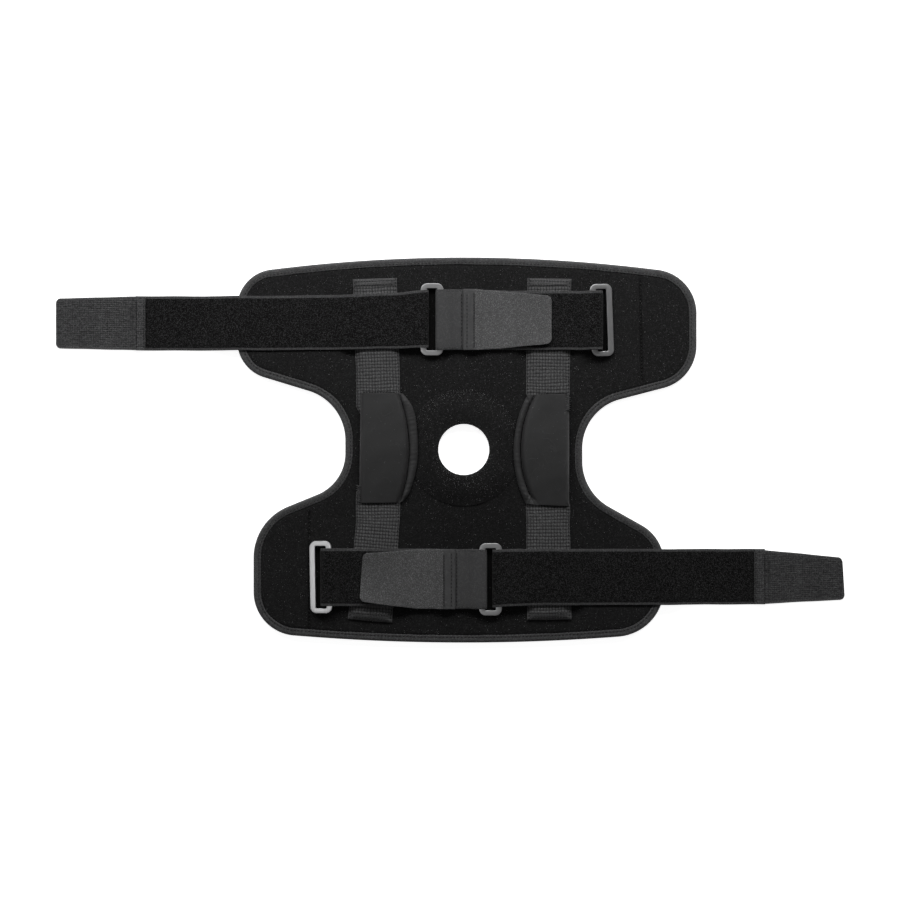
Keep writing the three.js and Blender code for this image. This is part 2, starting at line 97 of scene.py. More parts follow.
PANEL_TOP = node_box("wrap_panel")[1][2]
BINDING_LOW, BINDING_HIGH = (corner[2] for corner in node_box("edge_binding"))
FACE, SLEEVE_TOP = (corner[2] for corner in node_box("hinge_sleeve_right"))
RING_PAD_RADIUS = node_box("patella_ring")[1][1]
RING_PAD_TOP = node_box("patella_ring")[1][2]
SLEEVE_WIDTH = node_box("hinge_sleeve_right")[1][0] - node_box("hinge_sleeve_right")[0][0]
COVER_TOP = node_box("hinge_cover_right")[1][2]
RIM_TOP = node_box("hinge_rim_right")[1][2]


# Plan of the brace

Corner = namedtuple("Corner", "place x y radius")
PANEL_CORNERS = [
    Corner("top crown", 0, 184.8, 1394),
    Corner("upper right top", 212, 159.6, 40),
    Corner("upper right low", 212, 63.8, 40),
    Corner("right waist top", 108, 36.7, 46),
    Corner("right waist low", 108, -38.5, 48),
    Corner("lower right top", 182.5, -80.4, 40),
    Corner("lower right low", 182.5, -167.4, 45),
    Corner("bottom crown", 0, -181.1, 1850),
    Corner("lower left low", -191.5, -166.7, 40),
    Corner("lower left top", -191.5, -64.8, 50),
    Corner("left waist low", -107.9, -30.6, 41),
    Corner("left waist top", -107.9, 43.2, 47),
    Corner("upper left low", -206.5, 73.2, 35),
    Corner("upper left top", -206.5, 160.3, 35),
]
HOLE_RADIUS = 23.25
RING_PAD_CROWN = RING_PAD_TOP - FACE + 1.2
RING_PAD_EXTRA = 3.2

# The edge tape: its visible width, the step of its points, and how far in its stitches lie
BINDING_WIDTH = 6.9
BINDING_STEP = 1.15
STITCH_ROW = 5.0

# A seam's channel runs out over a short length past both of its ends.
WingSeam = namedtuple("WingSeam", "x lean low high")
WING_SEAMS = [WingSeam(161.3, -2.0, 58, 162), WingSeam(-140.6, 0, -168, -58)]
SEAM_RUN_OUT = 4

# Where the panel's rows of points lie: in from its edge, out from the hole, and to both sides of a seam
EDGE_ROWS = (1.3, 3.4, 5.2, 6.0, 6.9, 7.9, 9.2, 11.0)
HOLE_ROWS = (0, 0.5, 1.2, 2.4, 4.2)
SEAM_ROWS = (-3, -1.5, -0.7, 0, 0.7, 1.5, 3)
HOLE_POINTS = 84

SLEEVE_LINES = {
    "left": [(-85.4, -156), (-79.1, -77), (-78, -49), (-77.8, 51), (-79.2, 98), (-80.9, 155.5)],
    "right": [(77.9, -155), (76.7, -60), (76.6, 62), (77.9, 155.5)],
}
HALF_SLEEVE = SLEEVE_WIDTH / 2

# How far a sleeve's edges are drawn in under its cover, up to which y, and how gently they come out again
TUCKED_IN = 4.2
TUCK_REACH = {"left": 40.0, "right": 52.0}
TUCK_BLEND = 10

# Each line runs from its lower end to its upper end. A bowed one is an arc through three points, or a smooth
# curve through more.
# worn is how far the paler band along the outer line spreads in. tack is the bar tack at one of its ends.
HingePlan = namedtuple("HingePlan", "outer groove rim worn tack")
BarTack = namedtuple("BarTack", "x half low high")
HINGES = {
    "left": HingePlan(
        outer=[(-95.2, -48.8), (-93.6, 51.6)],
        groove=[(-58.5, -48.4), (-50, 0), (-59.4, 51.2)],
        rim=[(-54.4, -46.3), (-48.6, -37), (-42.4, -12), (-42.5, 19), (-46.8, 39), (-55.5, 51)],
        worn=0,
        tack=BarTack(-95.8, 2.0, -47.5, -33),
    ),
    "right": HingePlan(
        outer=[(95.8, -51.7), (95.8, 50.5)],
        groove=[(64.7, -50.3), (52, 0), (64.7, 49.9)],
        rim=[(56.5, -49.5), (45.2, 0), (58, 50)],
        worn=0.53,
        tack=BarTack(94.7, 2.3, 35.2, 48),
    ),
}
COVER_CORNER = 3.2
GROOVE_WIDTH = 0.5
TACK_PITCH = 1.0

# u runs along a strap from its tail to its end ring: +X on the upper strap and -X on the lower one.
# low and high are the y of a tape's two edges there.
EdgeRow = namedtuple("EdgeRow", "u low high")
Strap = namedtuple(
    "Strap",
    "name along long_sleeve short_sleeve panel_edge strap_start tail_stop slack seam_from seam_to tab_end "
    "tab_lean tab_curl tail_lean end_fold tail long short tab",
)
STRAPS = [
    Strap(
        name="upper", along=1, long_sleeve="left", short_sleeve="right", panel_edge=-206.5,
        strap_start=-298.7, tail_stop=-290, slack=0.3, seam_from=0.8, seam_to=9.1, tab_end=79.6, tab_lean=0,
        tab_curl=0.9, tail_lean=0, end_fold=126.5,
        tail=[EdgeRow(-371.8, 92.2, 137.8), EdgeRow(-290, 90.2, 139.8)],
        long=[EdgeRow(-298.7, 90.2, 139.8), EdgeRow(-170, 90.2, 139.8), EdgeRow(-103, 90.8, 140.8),
              EdgeRow(-60, 91.6, 142.4), EdgeRow(-30, 92.6, 145.4)],
        short=[EdgeRow(-30, 90.5, 145.6), EdgeRow(12, 90.5, 145.4), EdgeRow(40, 90.4, 144.2),
               EdgeRow(126, 90.4, 143.9)],
        tab=[EdgeRow(-1, 90.2, 145.8), EdgeRow(9.1, 90.2, 145.8), EdgeRow(32.5, 91.3, 143.8),
             EdgeRow(79.6, 96.1, 139.6)],
    ),
    Strap(
        name="lower", along=-1, long_sleeve="right", short_sleeve="left", panel_edge=-182.5,
        strap_start=-274.6, tail_stop=-264.5, slack=1.7, seam_from=9.2, seam_to=17.9, tab_end=93.2,
        tab_lean=-2.4, tab_curl=1.5, tail_lean=-1.8, end_fold=130.4,
        tail=[EdgeRow(-346.3, -137, -98.6), EdgeRow(-264.5, -141.2, -90.6)],
        long=[EdgeRow(-274.6, -141.2, -90.6), EdgeRow(-60, -141.6, -90.3), EdgeRow(-25, -143.4, -90.8)],
        short=[EdgeRow(-27, -144.8, -90.7), EdgeRow(18, -144.8, -90.6), EdgeRow(45, -143, -90.2),
               EdgeRow(131, -142, -89.8)],
        tab=[EdgeRow(8, -145.1, -90.4), EdgeRow(17.9, -145.1, -90.4), EdgeRow(43, -144.8, -90.8),
             EdgeRow(93.2, -138.0, -94.4)],
    ),
]

# Thicknesses, and the heights of the straps' mid-lines that follow from them
GAP = 0.3
STRAP_THICKNESS = 1.4
HALF_STRAP = STRAP_THICKNESS / 2
LAYER = STRAP_THICKNESS + GAP
RING_WIDTH = 20.5
RING_THICKNESS = 2.2
RING_LONG_BAR = 5.4
RING_SHORT_BAR = 4.6
RING_CORNER = 6.0
RING_SLOT_CORNER = 1.0
EYE_CLEARANCE = 0.33
ON_FLOOR = HALF_STRAP
ON_BINDING = BINDING_HIGH + GAP + HALF_STRAP
ON_PANEL = FACE + HALF_STRAP
ON_SLEEVE = SLEEVE_TOP + GAP + HALF_STRAP
FOLD_RADIUS = RING_THICKNESS / 2 + GAP + HALF_STRAP
INNER_RING_Z = ON_PANEL + FOLD_RADIUS
OVER_RING = INNER_RING_Z + FOLD_RADIUS
EYE_RADIUS = math.hypot(RING_LONG_BAR, RING_THICKNESS) / 2 + EYE_CLEARANCE + HALF_STRAP
PIVOT_Z = ON_PANEL + EYE_RADIUS
OVER_EYE = PIVOT_Z + EYE_RADIUS

# Lengths along a strap
PAST_EDGE = 1.0
FLOOR_BEND = 31.0
BINDING_BEND = 6.0
SLEEVE_BEND = 13.0
RING_BEND = 9.0
RETURN_GAP = 3.0
STITCH_FROM_PIVOT = 14.0
RETURN_FROM_PIVOT = 16.5
FOLD_BEND = 13.0
SEAM_MARGIN = 0.8
TAB_MARGIN = 1.3
TAB_BEND = 9.0
TAIL_BEND = 3.6
TAB_CORNER = 4.5
TAIL_CORNER = 4.2
LEAN_REACH = 25.0
CURL_REACH = 60.0

# Stage, in metres
PHOTO_WIDTH = 0.819
CAMERA_HEIGHT = 2.0
FLOOR_HALF = 40.0
FLOOR_DROP = 0.0002

SEED = 7


# Properties that a user would change

def length(name, description, millimetres):
    """A length property whose default is given in millimetres."""
    return FloatProperty(
        name=name, description=description, default=millimetres * MM, min=0, unit="LENGTH", precision=5,
    )


def colour(name, description, red, green, blue):
    """A colour property in linear values."""
    return FloatVectorProperty(
        name=name, description=description, default=(red, green, blue), subtype="COLOR", min=0, max=1,
    )


class KneeBraceSizes(bpy.types.PropertyGroup):
    """Sizes of the finish that the frame doesn't hold"""

    mesh_step: length("Mesh step", "Distance between the points of the padded panel", 2.6)
    panel_swell: length("Panel swell", "How far the plush stands up beside the binding and seams", 0.18)
    seam_depth: length("Seam depth", "How far a sewn channel sinks into the panel", 1.1)
    weft_pitch: length("Weft pitch", "Distance along a sleeve between the ridges of its waffle weave", 3.03)
    warp_pitch: length("Warp pitch", "Distance across a sleeve between the ridges of its waffle weave", 2.73)
    weave_depth: length("Weave depth", "Depth of the waffle weave", 0.42)
    sleeve_selvedge: length("Sleeve selvedge", "Plain woven edge of the sleeves", 4.5)
    sleeve_hem: length("Sleeve hem", "Finer folded end of the sleeves", 7.0)
    strap_selvedge: length("Strap selvedge", "Flat woven edge of the straps", 2.3)
    stitch: length("Stitch", "Length of one visible stitch", 2.0)
    stitch_gap: length("Stitch gap", "Distance between two stitches of a seam", 1.3)
    close_gap: length("Close stitch gap", "Distance between two stitches of a tight seam", 0.5)
    thread: length("Thread", "Thickness of the sewing thread", 0.8)
    cover_roll: length("Cover roll", "Width over which a cover's edge rolls down", 4.6)
    hook_height: length("Hook height", "Height of a hook on the tails", 0.42)
    hook_pitch: length("Hook pitch", "Distance between rows of hooks", 1.9)
    ring_bevel: length("Ring bevel", "Rounding of the metal rings' edges", 0.5)
    pile_loops: IntProperty(name="Pile loops", description="Loose loops on the plush", default=6500, min=1)
    lint: IntProperty(name="Lint", description="Pale specks of lint on the cloth", default=3000, min=1)


class KneeBraceColours(bpy.types.PropertyGroup):
    """Colours of the finishes"""

    plush: colour("Plush", "Brushed loop face of the panel", 0.0125, 0.0125, 0.0127)
    binding: colour("Binding", "Woven tape round the edge", 0.065, 0.065, 0.066)
    webbing: colour("Webbing", "Waffle tape of the sleeves", 0.070, 0.070, 0.071)
    cover: colour("Cover", "Smooth knit of the hinge covers", 0.0242, 0.0242, 0.0246)
    strap: colour("Strap", "Loop face of the straps", 0.0102, 0.0102, 0.0104)
    strap_back: colour("Strap back", "Smooth back of the straps", 0.056, 0.056, 0.057)
    selvedge: colour("Selvedge", "Woven edges of the straps", 0.050, 0.050, 0.051)
    hook_tape: colour("Hook tape", "Ribbed tape of the tails", 0.051, 0.051, 0.052)
    tab: colour("Tab", "Grainy face of the pull tabs", 0.084, 0.084, 0.085)
    metal: colour("Metal", "Satin plate of the rings", 0.40, 0.40, 0.404)
    thread: colour("Thread", "Sewing thread", 0.006, 0.006, 0.0062)
    lint: colour("Lint", "Pale fibres on the cloth", 0.24, 0.24, 0.245)
    floor: colour("Floor", "Pale floor under the brace", 0.86, 0.86, 0.86)


def sizes():
    """The sizes in use, in millimetres, and the counts."""
    held = bpy.context.scene.knee_brace_sizes
    names = [name for name in KneeBraceSizes.__annotations__ if name not in ("pile_loops", "lint")]
    values = {name: getattr(held, name) / MM for name in names}
    return namedtuple("Sizes", [*values, "pile_loops", "lint"])(*values.values(), held.pile_loops, held.lint)


def colour_of(name, factor=1.0):
    """One of the colours in use, made lighter or darker by a factor."""
    return tuple(factor * value for value in getattr(bpy.context.scene.knee_brace_colours, name)) + (1.0,)


# Curves and unevenness

def smoothstep(share):
    """0 up to 0, 1 from 1 on, and an even S between."""
    share = np.clip(share, 0, 1)
    return share * share * (3 - 2 * share)


def ripple(x, y, wavelength, seed):
    """Smooth unevenness between about -1 and 1, with swells about a wavelength across."""
    random = np.random.default_rng(seed)
    total = np.zeros(np.broadcast(x, y).shape)
    for _ in range(7):
        heading, phase = random.uniform(0, 2 * math.pi, 2)
        rate = 2 * math.pi / (wavelength * random.uniform(0.7, 1.7))
        total = total + np.sin(rate * (x * math.cos(heading) + y * math.sin(heading)) + phase)
    return total / 3.2


def unit(vectors):
    """Vectors along the last axis made one long."""
    return vectors / np.maximum(np.linalg.norm(vectors, axis=-1, keepdims=True), 1e-12)


def run_length(points):
    """Length along a line of points up to each of them."""
    steps = np.linalg.norm(np.diff(points, axis=0), axis=1)
    return np.concatenate([[0], np.cumsum(steps)])


def evenly(points, spacing, closed=False):
    """A line of points spread evenly about a spacing apart."""
    points = np.asarray(points, float)
    if closed:
        points = np.vstack([points, points[:1]])
    run = run_length(points)
    count = max(2, round(run[-1] / spacing))
    at = np.linspace(0, run[-1], count, endpoint=not closed)
    return np.stack([np.interp(at, run, points[:, axis]) for axis in range(points.shape[1])], axis=1)


def on_circle(angles):
    """Points of a circle of radius 1 about the origin."""
    return np.stack([np.cos(angles), np.sin(angles)], axis=1)


def shortest_turn(start, end):
    """The turn from one angle to another, less than half round."""
    return (end - start + math.pi) % (2 * math.pi) - math.pi


def arc_through(ends_and_middle, count):
    """Points of the circle through three points, from the first to the last."""
    first, middle, last = np.asarray(ends_and_middle, float)
    ahead, across = middle - first, last - first
    turn = 2 * (ahead[0] * across[1] - ahead[1] * across[0])
    toward = np.array([
        ahead @ ahead * across[1] - across @ across * ahead[1],
        across @ across * ahead[0] - ahead @ ahead * across[0],
    ]) / turn
    centre, radius = first + toward, np.linalg.norm(toward)
    start, end = (math.atan2(*(point - centre)[::-1]) for point in (first, last))
    angles = start + np.linspace(0, 1, count) * shortest_turn(start, end)
    return centre + radius * on_circle(angles)


def smooth_through(points, spacing):
    """A smooth curve through points, spread evenly about a spacing apart."""
    points = np.array(points, float)
    held = np.vstack([points[:1], points, points[-1:]])
    share = np.linspace(0, 1, 40)[:, None]
    line = []
    for before, start, end, after in zip(held, held[1:], held[2:], held[3:]):
        leave, arrive = (end - before) / 2, (after - start) / 2
        cubic = 2 * start - 2 * end + leave + arrive
        square = 3 * end - 3 * start - 2 * leave - arrive
        line.append(((cubic * share + square) * share + leave) * share + start)
    return evenly(np.vstack(line), spacing)


def bowed_line(points, count):
    """An arc through three points, or a smooth curve through more."""
    if len(points) == 3:
        return arc_through(points, count)
    line = smooth_through(points, 0.2)
    return line[np.linspace(0, len(line) - 1, count).round().astype(int)]


def panel_edge(spacing):
    """Points along the panel's outline, the inward direction at each, and the length round it."""
    corners = np.array([(corner.x, corner.y) for corner in PANEL_CORNERS], float)
    outline = []
    for i, corner in enumerate(PANEL_CORNERS):
        into = unit(corners[i] - corners[i - 1])
        out = unit(corners[(i + 1) % len(corners)] - corners[i])
        inward_in, inward_out = np.array([into[1], -into[0]]), np.array([out[1], -out[0]])
        side = 1 if into[0] * out[1] - into[1] * out[0] < 0 else -1
        to_centre = (inward_in + inward_out) / (1 + inward_in @ inward_out)
        centre = corners[i] + to_centre * side * corner.radius
        start, end = (math.atan2(*(-side * inward)[::-1]) for inward in (inward_in, inward_out))
        sweep = shortest_turn(start, end)
        count = max(3, round(abs(sweep) * corner.radius))
        angles = start + np.linspace(0, 1, count) * sweep
        outline.append(centre + corner.radius * on_circle(angles))
    points = evenly(np.vstack(outline), spacing, closed=True)
    along = unit(np.roll(points, -1, axis=0) - np.roll(points, 1, axis=0))
    round_it = np.linalg.norm(points - np.roll(points, 1, axis=0), axis=1).sum()
    return points, np.stack([along[:, 1], -along[:, 0]], axis=1), round_it


def sleeve_line(side, spacing):
    """Middle line of a sleeve from its lower end to its upper end."""
    return smooth_through(SLEEVE_LINES[side], spacing)


def sleeve_half(side, y):
    """Half of a sleeve's width, drawn in where the hinge cover hides it."""
    return HALF_SLEEVE - TUCKED_IN * smoothstep((TUCK_REACH[side] - np.abs(y)) / TUCK_BLEND)


def sleeve_span(side, along, rows):
    """The u of a sleeve's two edges where a strap with these edge rows crosses it."""
    line = sleeve_line(side, 2)
    low, high = min(row.low for row in rows), max(row.high for row in rows)
    us = along * line[(line[:, 1] > low) & (line[:, 1] < high), 0]
    return us.min() - HALF_SLEEVE, us.max() + HALF_SLEEVE


def sleeve_rise(offset, from_end):
    """Height of a sleeve's face over the panel's: round over the stay, sewn down at edges and ends."""
    sewn, full = 1.0, SLEEVE_TOP - FACE - 0.1
    flat, rounding = 0.8, 6.5
    edge = np.minimum(HALF_SLEEVE - np.abs(offset), from_end)
    return sewn + (full - sewn) * smoothstep((edge - flat) / rounding)


def under_cover(side, x, y):
    """Height of what lies under a hinge cover: the sleeve's face, or the panel's beside it."""
    line = sleeve_line(side, 2)
    half = sleeve_half(side, y)
    offset = np.abs(x - np.interp(y, line[:, 1], line[:, 0]))
    on_sleeve = smoothstep((half + 1.2 - offset) / 0.8)
    return FACE + on_sleeve * sleeve_rise(np.minimum(offset / half, 1) * HALF_SLEEVE, SLEEVE_WIDTH)


# Meshes

Mesh = namedtuple("Mesh", "points faces cloth")


def grid(rows, columns, close_rows=False, close_columns=False):
    """Four-sided faces over points laid out row by row."""
    row = np.arange(rows if close_rows else rows - 1)[:, None]
    column = np.arange(columns if close_columns else columns - 1)[None, :]
    next_row, next_column = (row + 1) % rows, (column + 1) % columns
    corners = [(row, column), (row, next_column), (next_row, next_column), (next_row, column)]
    return np.stack([np.broadcast_to(r * columns + c, (row.size, column.size)) for r, c in corners],
                    axis=-1).reshape(-1, 4)


def volume(points, faces):
    """Volume inside a closed mesh, negative where its faces point inwards."""
    total = 0.0
    for group in faces:
        for last in range(2, group.shape[1]):
            a, b, c = (points[group[:, k]] for k in (0, last - 1, last))
            total += np.einsum("ij,ij->", a, np.cross(b, c)) / 6
    return total


def joined(meshes):
    """Several meshes as one."""
    offsets = np.cumsum([0] + [len(mesh.points) for mesh in meshes])
    return Mesh(
        np.vstack([mesh.points for mesh in meshes]),
        [group + offset for mesh, offset in zip(meshes, offsets) for group in mesh.faces],
        np.vstack([mesh.cloth for mesh in meshes]),
    )


def ring_body(points, cloth):
    """A closed body from rows of points that run round a section, with the last row joined to the first."""
    rows, columns = points.shape[:2]
    faces = grid(rows, columns, close_rows=True, close_columns=True)
    return Mesh(points.reshape(-1, 3), [faces], cloth.reshape(-1, 3))


def slab(top, bottom, cloth, flat_bottom=False):
    """A closed body between two layers of points laid out in rows, with walls round their edges."""
    rows, columns = top.shape[:2]
    order = np.arange(rows * columns).reshape(rows, columns)
    border = np.concatenate([order[0, :-1], order[:-1, -1], order[-1, :0:-1], order[:0:-1, 0]])
    count = rows * columns
    upper = grid(rows, columns)
    if flat_bottom:
        below = bottom.reshape(-1, 3)[border]
        low_border = count + np.arange(len(border))
        lower = low_border[None, ::-1]
        low_cloth = cloth.reshape(-1, 3)[border]
    else:
        below = bottom.reshape(-1, 3)
        low_border = count + border
        lower = count + upper[:, ::-1]
        low_cloth = cloth.reshape(-1, 3)
    wall = np.stack([border, low_border, np.roll(low_border, -1), np.roll(border, -1)], axis=1)
    points = np.vstack([top.reshape(-1, 3), below])
    return Mesh(points, [upper, lower, wall], np.vstack([cloth.reshape(-1, 3), low_cloth]))


def tubes(centres, across, radii, sides):
    """Closed tubes along rows of points. across is each tube's level direction square to its run."""
    count, rings = centres.shape[:2]
    tangent = unit(np.gradient(centres, axis=1))
    level = np.broadcast_to(across[:, None, :], centres.shape)
    upright = unit(np.cross(level, tangent))
    angle = np.arange(sides) * 2 * math.pi / sides
    spokes = np.cos(angle)[:, None] * level[:, :, None, :] + np.sin(angle)[:, None] * upright[:, :, None, :]
    points = centres[:, :, None, :] + np.asarray(radii)[None, :, None, None] * spokes
    starts = (np.arange(count) * rings * sides)[:, None, None]
    walls = (starts + grid(rings, sides, close_columns=True)[None]).reshape(-1, 4)
    cap = np.arange(sides)
    near = (starts[:, 0] + cap[None, ::-1]).reshape(-1, sides)
    far = (starts[:, 0] + (rings - 1) * sides + cap[None, :]).reshape(-1, sides)
    points = points.reshape(-1, 3)
    return Mesh(points, [walls, near, far], points.copy())


def make_piece(name, mesh, *finishes, body=BRACE, kinds=None):
    """An object in the frame, riding on a body. kinds holds the number of each face's finish."""
    faces = mesh.faces
    if volume(mesh.points, faces) < 0:
        faces = [group[:, ::-1] for group in faces]
    data = bpy.data.meshes.new(name)
    places = (mesh.points * MM + HOLE).tolist()
    data.from_pydata(places, [], [face for group in faces for face in group.tolist()])
    cloth = data.attributes.new("cloth", "FLOAT_VECTOR", "POINT")
    cloth.data.foreach_set("vector", mesh.cloth.astype(np.float32).ravel())
    for make in finishes:
        data.materials.append(finish(make))
    if kinds is not None:
        data.polygons.foreach_set("material_index", np.concatenate(kinds).astype(np.int32))
    data.polygons.foreach_set("use_smooth", np.ones(len(data.polygons), bool))
    data.update()
    piece = bpy.data.objects.new(name, data)
    bpy.context.scene.collection.objects.link(piece)
    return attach(piece, body)


def threads(centres, radii):
    """Short lengths of thread along rows of points."""
    heading = unit((centres[:, -1] - centres[:, 0]) * (1, 1, 0))
    across = np.stack([heading[:, 1], -heading[:, 0], np.zeros(len(heading))], axis=1)
    return tubes(centres, across, radii, 6)


def stitches(lines, size, lift=0.12, gap=None):
    """Thread that shows along seam lines: each stitch rises from its needle hole and sinks into the next."""
    pitch = size.stitch + (size.stitch_gap if gap is None else gap)
    rings = np.linspace(0, 1, 5)
    arch = lift - 0.42 * (2 * rings - 1) ** 4
    radii = size.thread / 2 * np.array([0.45, 0.92, 1, 0.92, 0.45])
    centres = []
    for line in lines:
        line = np.asarray(line, float)
        run = run_length(line)
        starts = np.arange(0, run[-1] - size.stitch, pitch)
        at = starts[:, None] + rings * size.stitch
        points = np.stack([np.interp(at, run, line[:, axis]) for axis in range(3)], axis=-1)
        points[..., 2] += arch
        centres.append(points)
    return threads(np.concatenate(centres), radii)


def scattered(face, count, random):
    """Places beside points of a surface that are chosen at random."""
    aside = 1.3
    return face[random.choice(len(face), count)] + random.uniform(-aside, aside, (count, 3)) * (1, 1, 0)


def strands(roots, random, reach, height, thickness):
    """Fine loops of fibre lying at random on a surface."""
    heading = random.uniform(0, 2 * math.pi, len(roots))
    span = reach * random.uniform(0.5, 1.5, len(roots))
    rise = height * random.uniform(0.4, 1.2, len(roots))
    run = np.array([-0.5, -0.2, 0.2, 0.5])
    arch = np.array([0, 1, 0.9, 0.1])
    forward = np.stack([np.cos(heading), np.sin(heading), np.zeros(len(roots))], axis=1)
    across = np.stack([forward[:, 1], -forward[:, 0], forward[:, 2]], axis=1)
    sway = random.uniform(-0.25, 0.25, (len(roots), 1)) * np.array([0, 1, 1, 0])
    centres = roots[:, None, :] + (run * span[:, None])[..., None] * forward[:, None, :]
    centres = centres + (sway * span[:, None])[..., None] * across[:, None, :]
    centres[..., 2] += arch * rise[:, None]
    return tubes(centres, across, thickness / 2 * np.array([0.7, 1, 1, 0.5]), 3)


# Shader building

def add(tree, kind, sockets=None, **settings):
    """A node with its settings made and its sockets filled with values or linked to other nodes."""
    made = tree.nodes.new(kind)
    for name, value in settings.items():
        setattr(made, name, value)
    for socket, value in (sockets or {}).items():
        if isinstance(value, bpy.types.NodeSocket):
            tree.links.new(value, made.inputs[socket])
        else:
            made.inputs[socket].default_value = value
    return made


def compute(tree, operation, *values):
    """Result of a sum on numbers or sockets."""
    return add(tree, "ShaderNodeMath", dict(enumerate(values)), operation=operation).outputs[0]


def scaled(tree, vector, scale):
    """A vector, or a colour, times a number."""
    node = add(tree, "ShaderNodeVectorMath", {"Vector": vector, "Scale": scale}, operation="SCALE")
    return node.outputs[0]


def stretched(tree, vector, factors):
    """A vector with each part times a factor."""
    node = add(tree, "ShaderNodeVectorMath", {0: vector, 1: factors}, operation="MULTIPLY")
    return node.outputs[0]


def noise(tree, vector, scale, detail, roughness=0.5):
    """Smooth noise from 0 to 1 with its grains about 1 / scale across."""
    sockets = {"Vector": vector, "Scale": scale, "Detail": detail, "Roughness": roughness}
    return add(tree, "ShaderNodeTexNoise", sockets).outputs["Fac"]


def ranged(tree, value, low, high, to_low=0.0, to_high=1.0):
    """A value moved from one range to another and kept within it."""
    sockets = {"Value": value, "From Min": low, "From Max": high, "To Min": to_low, "To Max": to_high}
    return add(tree, "ShaderNodeMapRange", sockets).outputs["Result"]


def mixed(tree, factor, first, second):
    """One colour turning into another."""
    sockets = {0: factor, 6: first, 7: second}
    return add(tree, "ShaderNodeMix", sockets, data_type="RGBA").outputs[2]


def shader_group(name, inputs, outputs, wire):
    """A node group made once. wire is given the tree and its inputs, and returns a value for each output."""
    if name in bpy.data.node_groups:
        return bpy.data.node_groups[name]
    tree = bpy.data.node_groups.new(name, "ShaderNodeTree")
    for label, value in inputs.items():
        kind = "NodeSocketVector" if value is None else "NodeSocketFloat"
        socket = tree.interface.new_socket(label, in_out="INPUT", socket_type=kind)
        if value is not None:
            socket.default_value = value
    for label in outputs:
        tree.interface.new_socket(label, in_out="OUTPUT", socket_type="NodeSocketFloat")
    given = add(tree, "NodeGroupInput").outputs
    made = wire(tree, *(given[label] for label in inputs))
    add(tree, "NodeGroupOutput", dict(zip(outputs, made)))
    return tree


def loop_pile(tree, position, loop_size):
    """Tangled loops: their height, and how much light each catches. Few catch much, and the mean is 0.25."""
    place = scaled(tree, position, compute(tree, "DIVIDE", 1.0, loop_size))
    loops = add(tree, "ShaderNodeTexVoronoi", {"Vector": place, "Scale": 1.0}).outputs
    lit = add(tree, "ShaderNodeSeparateXYZ", {0: loops["Color"]}).outputs[0]
    fuzz = noise(tree, place, 1.3, 3.0, 0.62)
    height = compute(tree, "SUBTRACT", fuzz, compute(tree, "MULTIPLY", loops["Distance"], 0.6))
    frayed = compute(tree, "MULTIPLY_ADD", fuzz, 1.2, 0.4)
    crown = ranged(tree, loops["Distance"], 0.1, 0.8, 1.6, 0.35)
    caught = compute(tree, "MULTIPLY", frayed, crown)
    return height, compute(tree, "MULTIPLY", compute(tree, "POWER", lit, 3.0), caught)


def thread_weave(tree, position, warp_pitch, weft_pitch):
    """Plain weave: the height of its threads, and where a warp thread lies over."""
    parts = add(tree, "ShaderNodeSeparateXYZ", {0: position}).outputs
    waves = []
    for part, pitch in ((parts[0], warp_pitch), (parts[1], weft_pitch)):
        angle = compute(tree, "MULTIPLY", compute(tree, "DIVIDE", part, pitch), math.pi)
        waves.append(compute(tree, "SINE", angle))
    crossing = compute(tree, "MULTIPLY", *waves)
    height = compute(tree, "POWER", compute(tree, "ABSOLUTE", crossing), 0.6)
    return height, compute(tree, "MULTIPLY_ADD", crossing, 0.5, 0.5)


def lint_specks(tree, position, amount):
    """Sparse short specks, more of them at a larger amount."""
    warped = stretched(tree, position, (0.55, 0.8, 0.7))
    specks = noise(tree, warped, 1.0, 1.0, 0.4)
    edge = compute(tree, "SUBTRACT", 0.84, amount)
    return (ranged(tree, specks, edge, compute(tree, "ADD", edge, 0.06)),)


def tone_drift(tree, position, span, depth):
    """Slow change of tone over a surface, about 1."""
    slow = noise(tree, scaled(tree, position, compute(tree, "DIVIDE", 1.0, span)), 1.0, 2.0)
    off_mean = compute(tree, "SUBTRACT", slow, 0.5)
    return (compute(tree, "MULTIPLY_ADD", off_mean, compute(tree, "MULTIPLY", depth, 2), 1.0),)


def rubbed_edge(tree, position, edge):
    """Paleness along an edge, broken up in patches: wear on the binding, sleeves and rings, the sewn end's tone on
    the tabs, a pale band on the covers' outer edges, and a painted highlight along the tails' edges.
    """
    patches = ranged(tree, noise(tree, position, 0.35, 3.0), 0.3, 0.7, 0.45, 1.0)
    return (compute(tree, "MULTIPLY", edge, patches),)


# The shared groups: inputs with their defaults, None for a vector; outputs; and what wires them
GROUPS = {
    "Loop pile": ({"Position": None, "Loop size": 1.0}, ("Height", "Shade"), loop_pile),
    "Thread weave": (
        {"Position": None, "Warp pitch": 1.0, "Weft pitch": 1.0}, ("Height", "Over"), thread_weave,
    ),
    "Lint specks": ({"Position": None, "Amount": 0.1}, ("Mask",), lint_specks),
    "Tone drift": ({"Position": None, "Span": 40.0, "Depth": 0.1}, ("Tone",), tone_drift),
    "Rubbed edge": ({"Position": None, "Edge": 0.0}, ("Mask",), rubbed_edge),
}


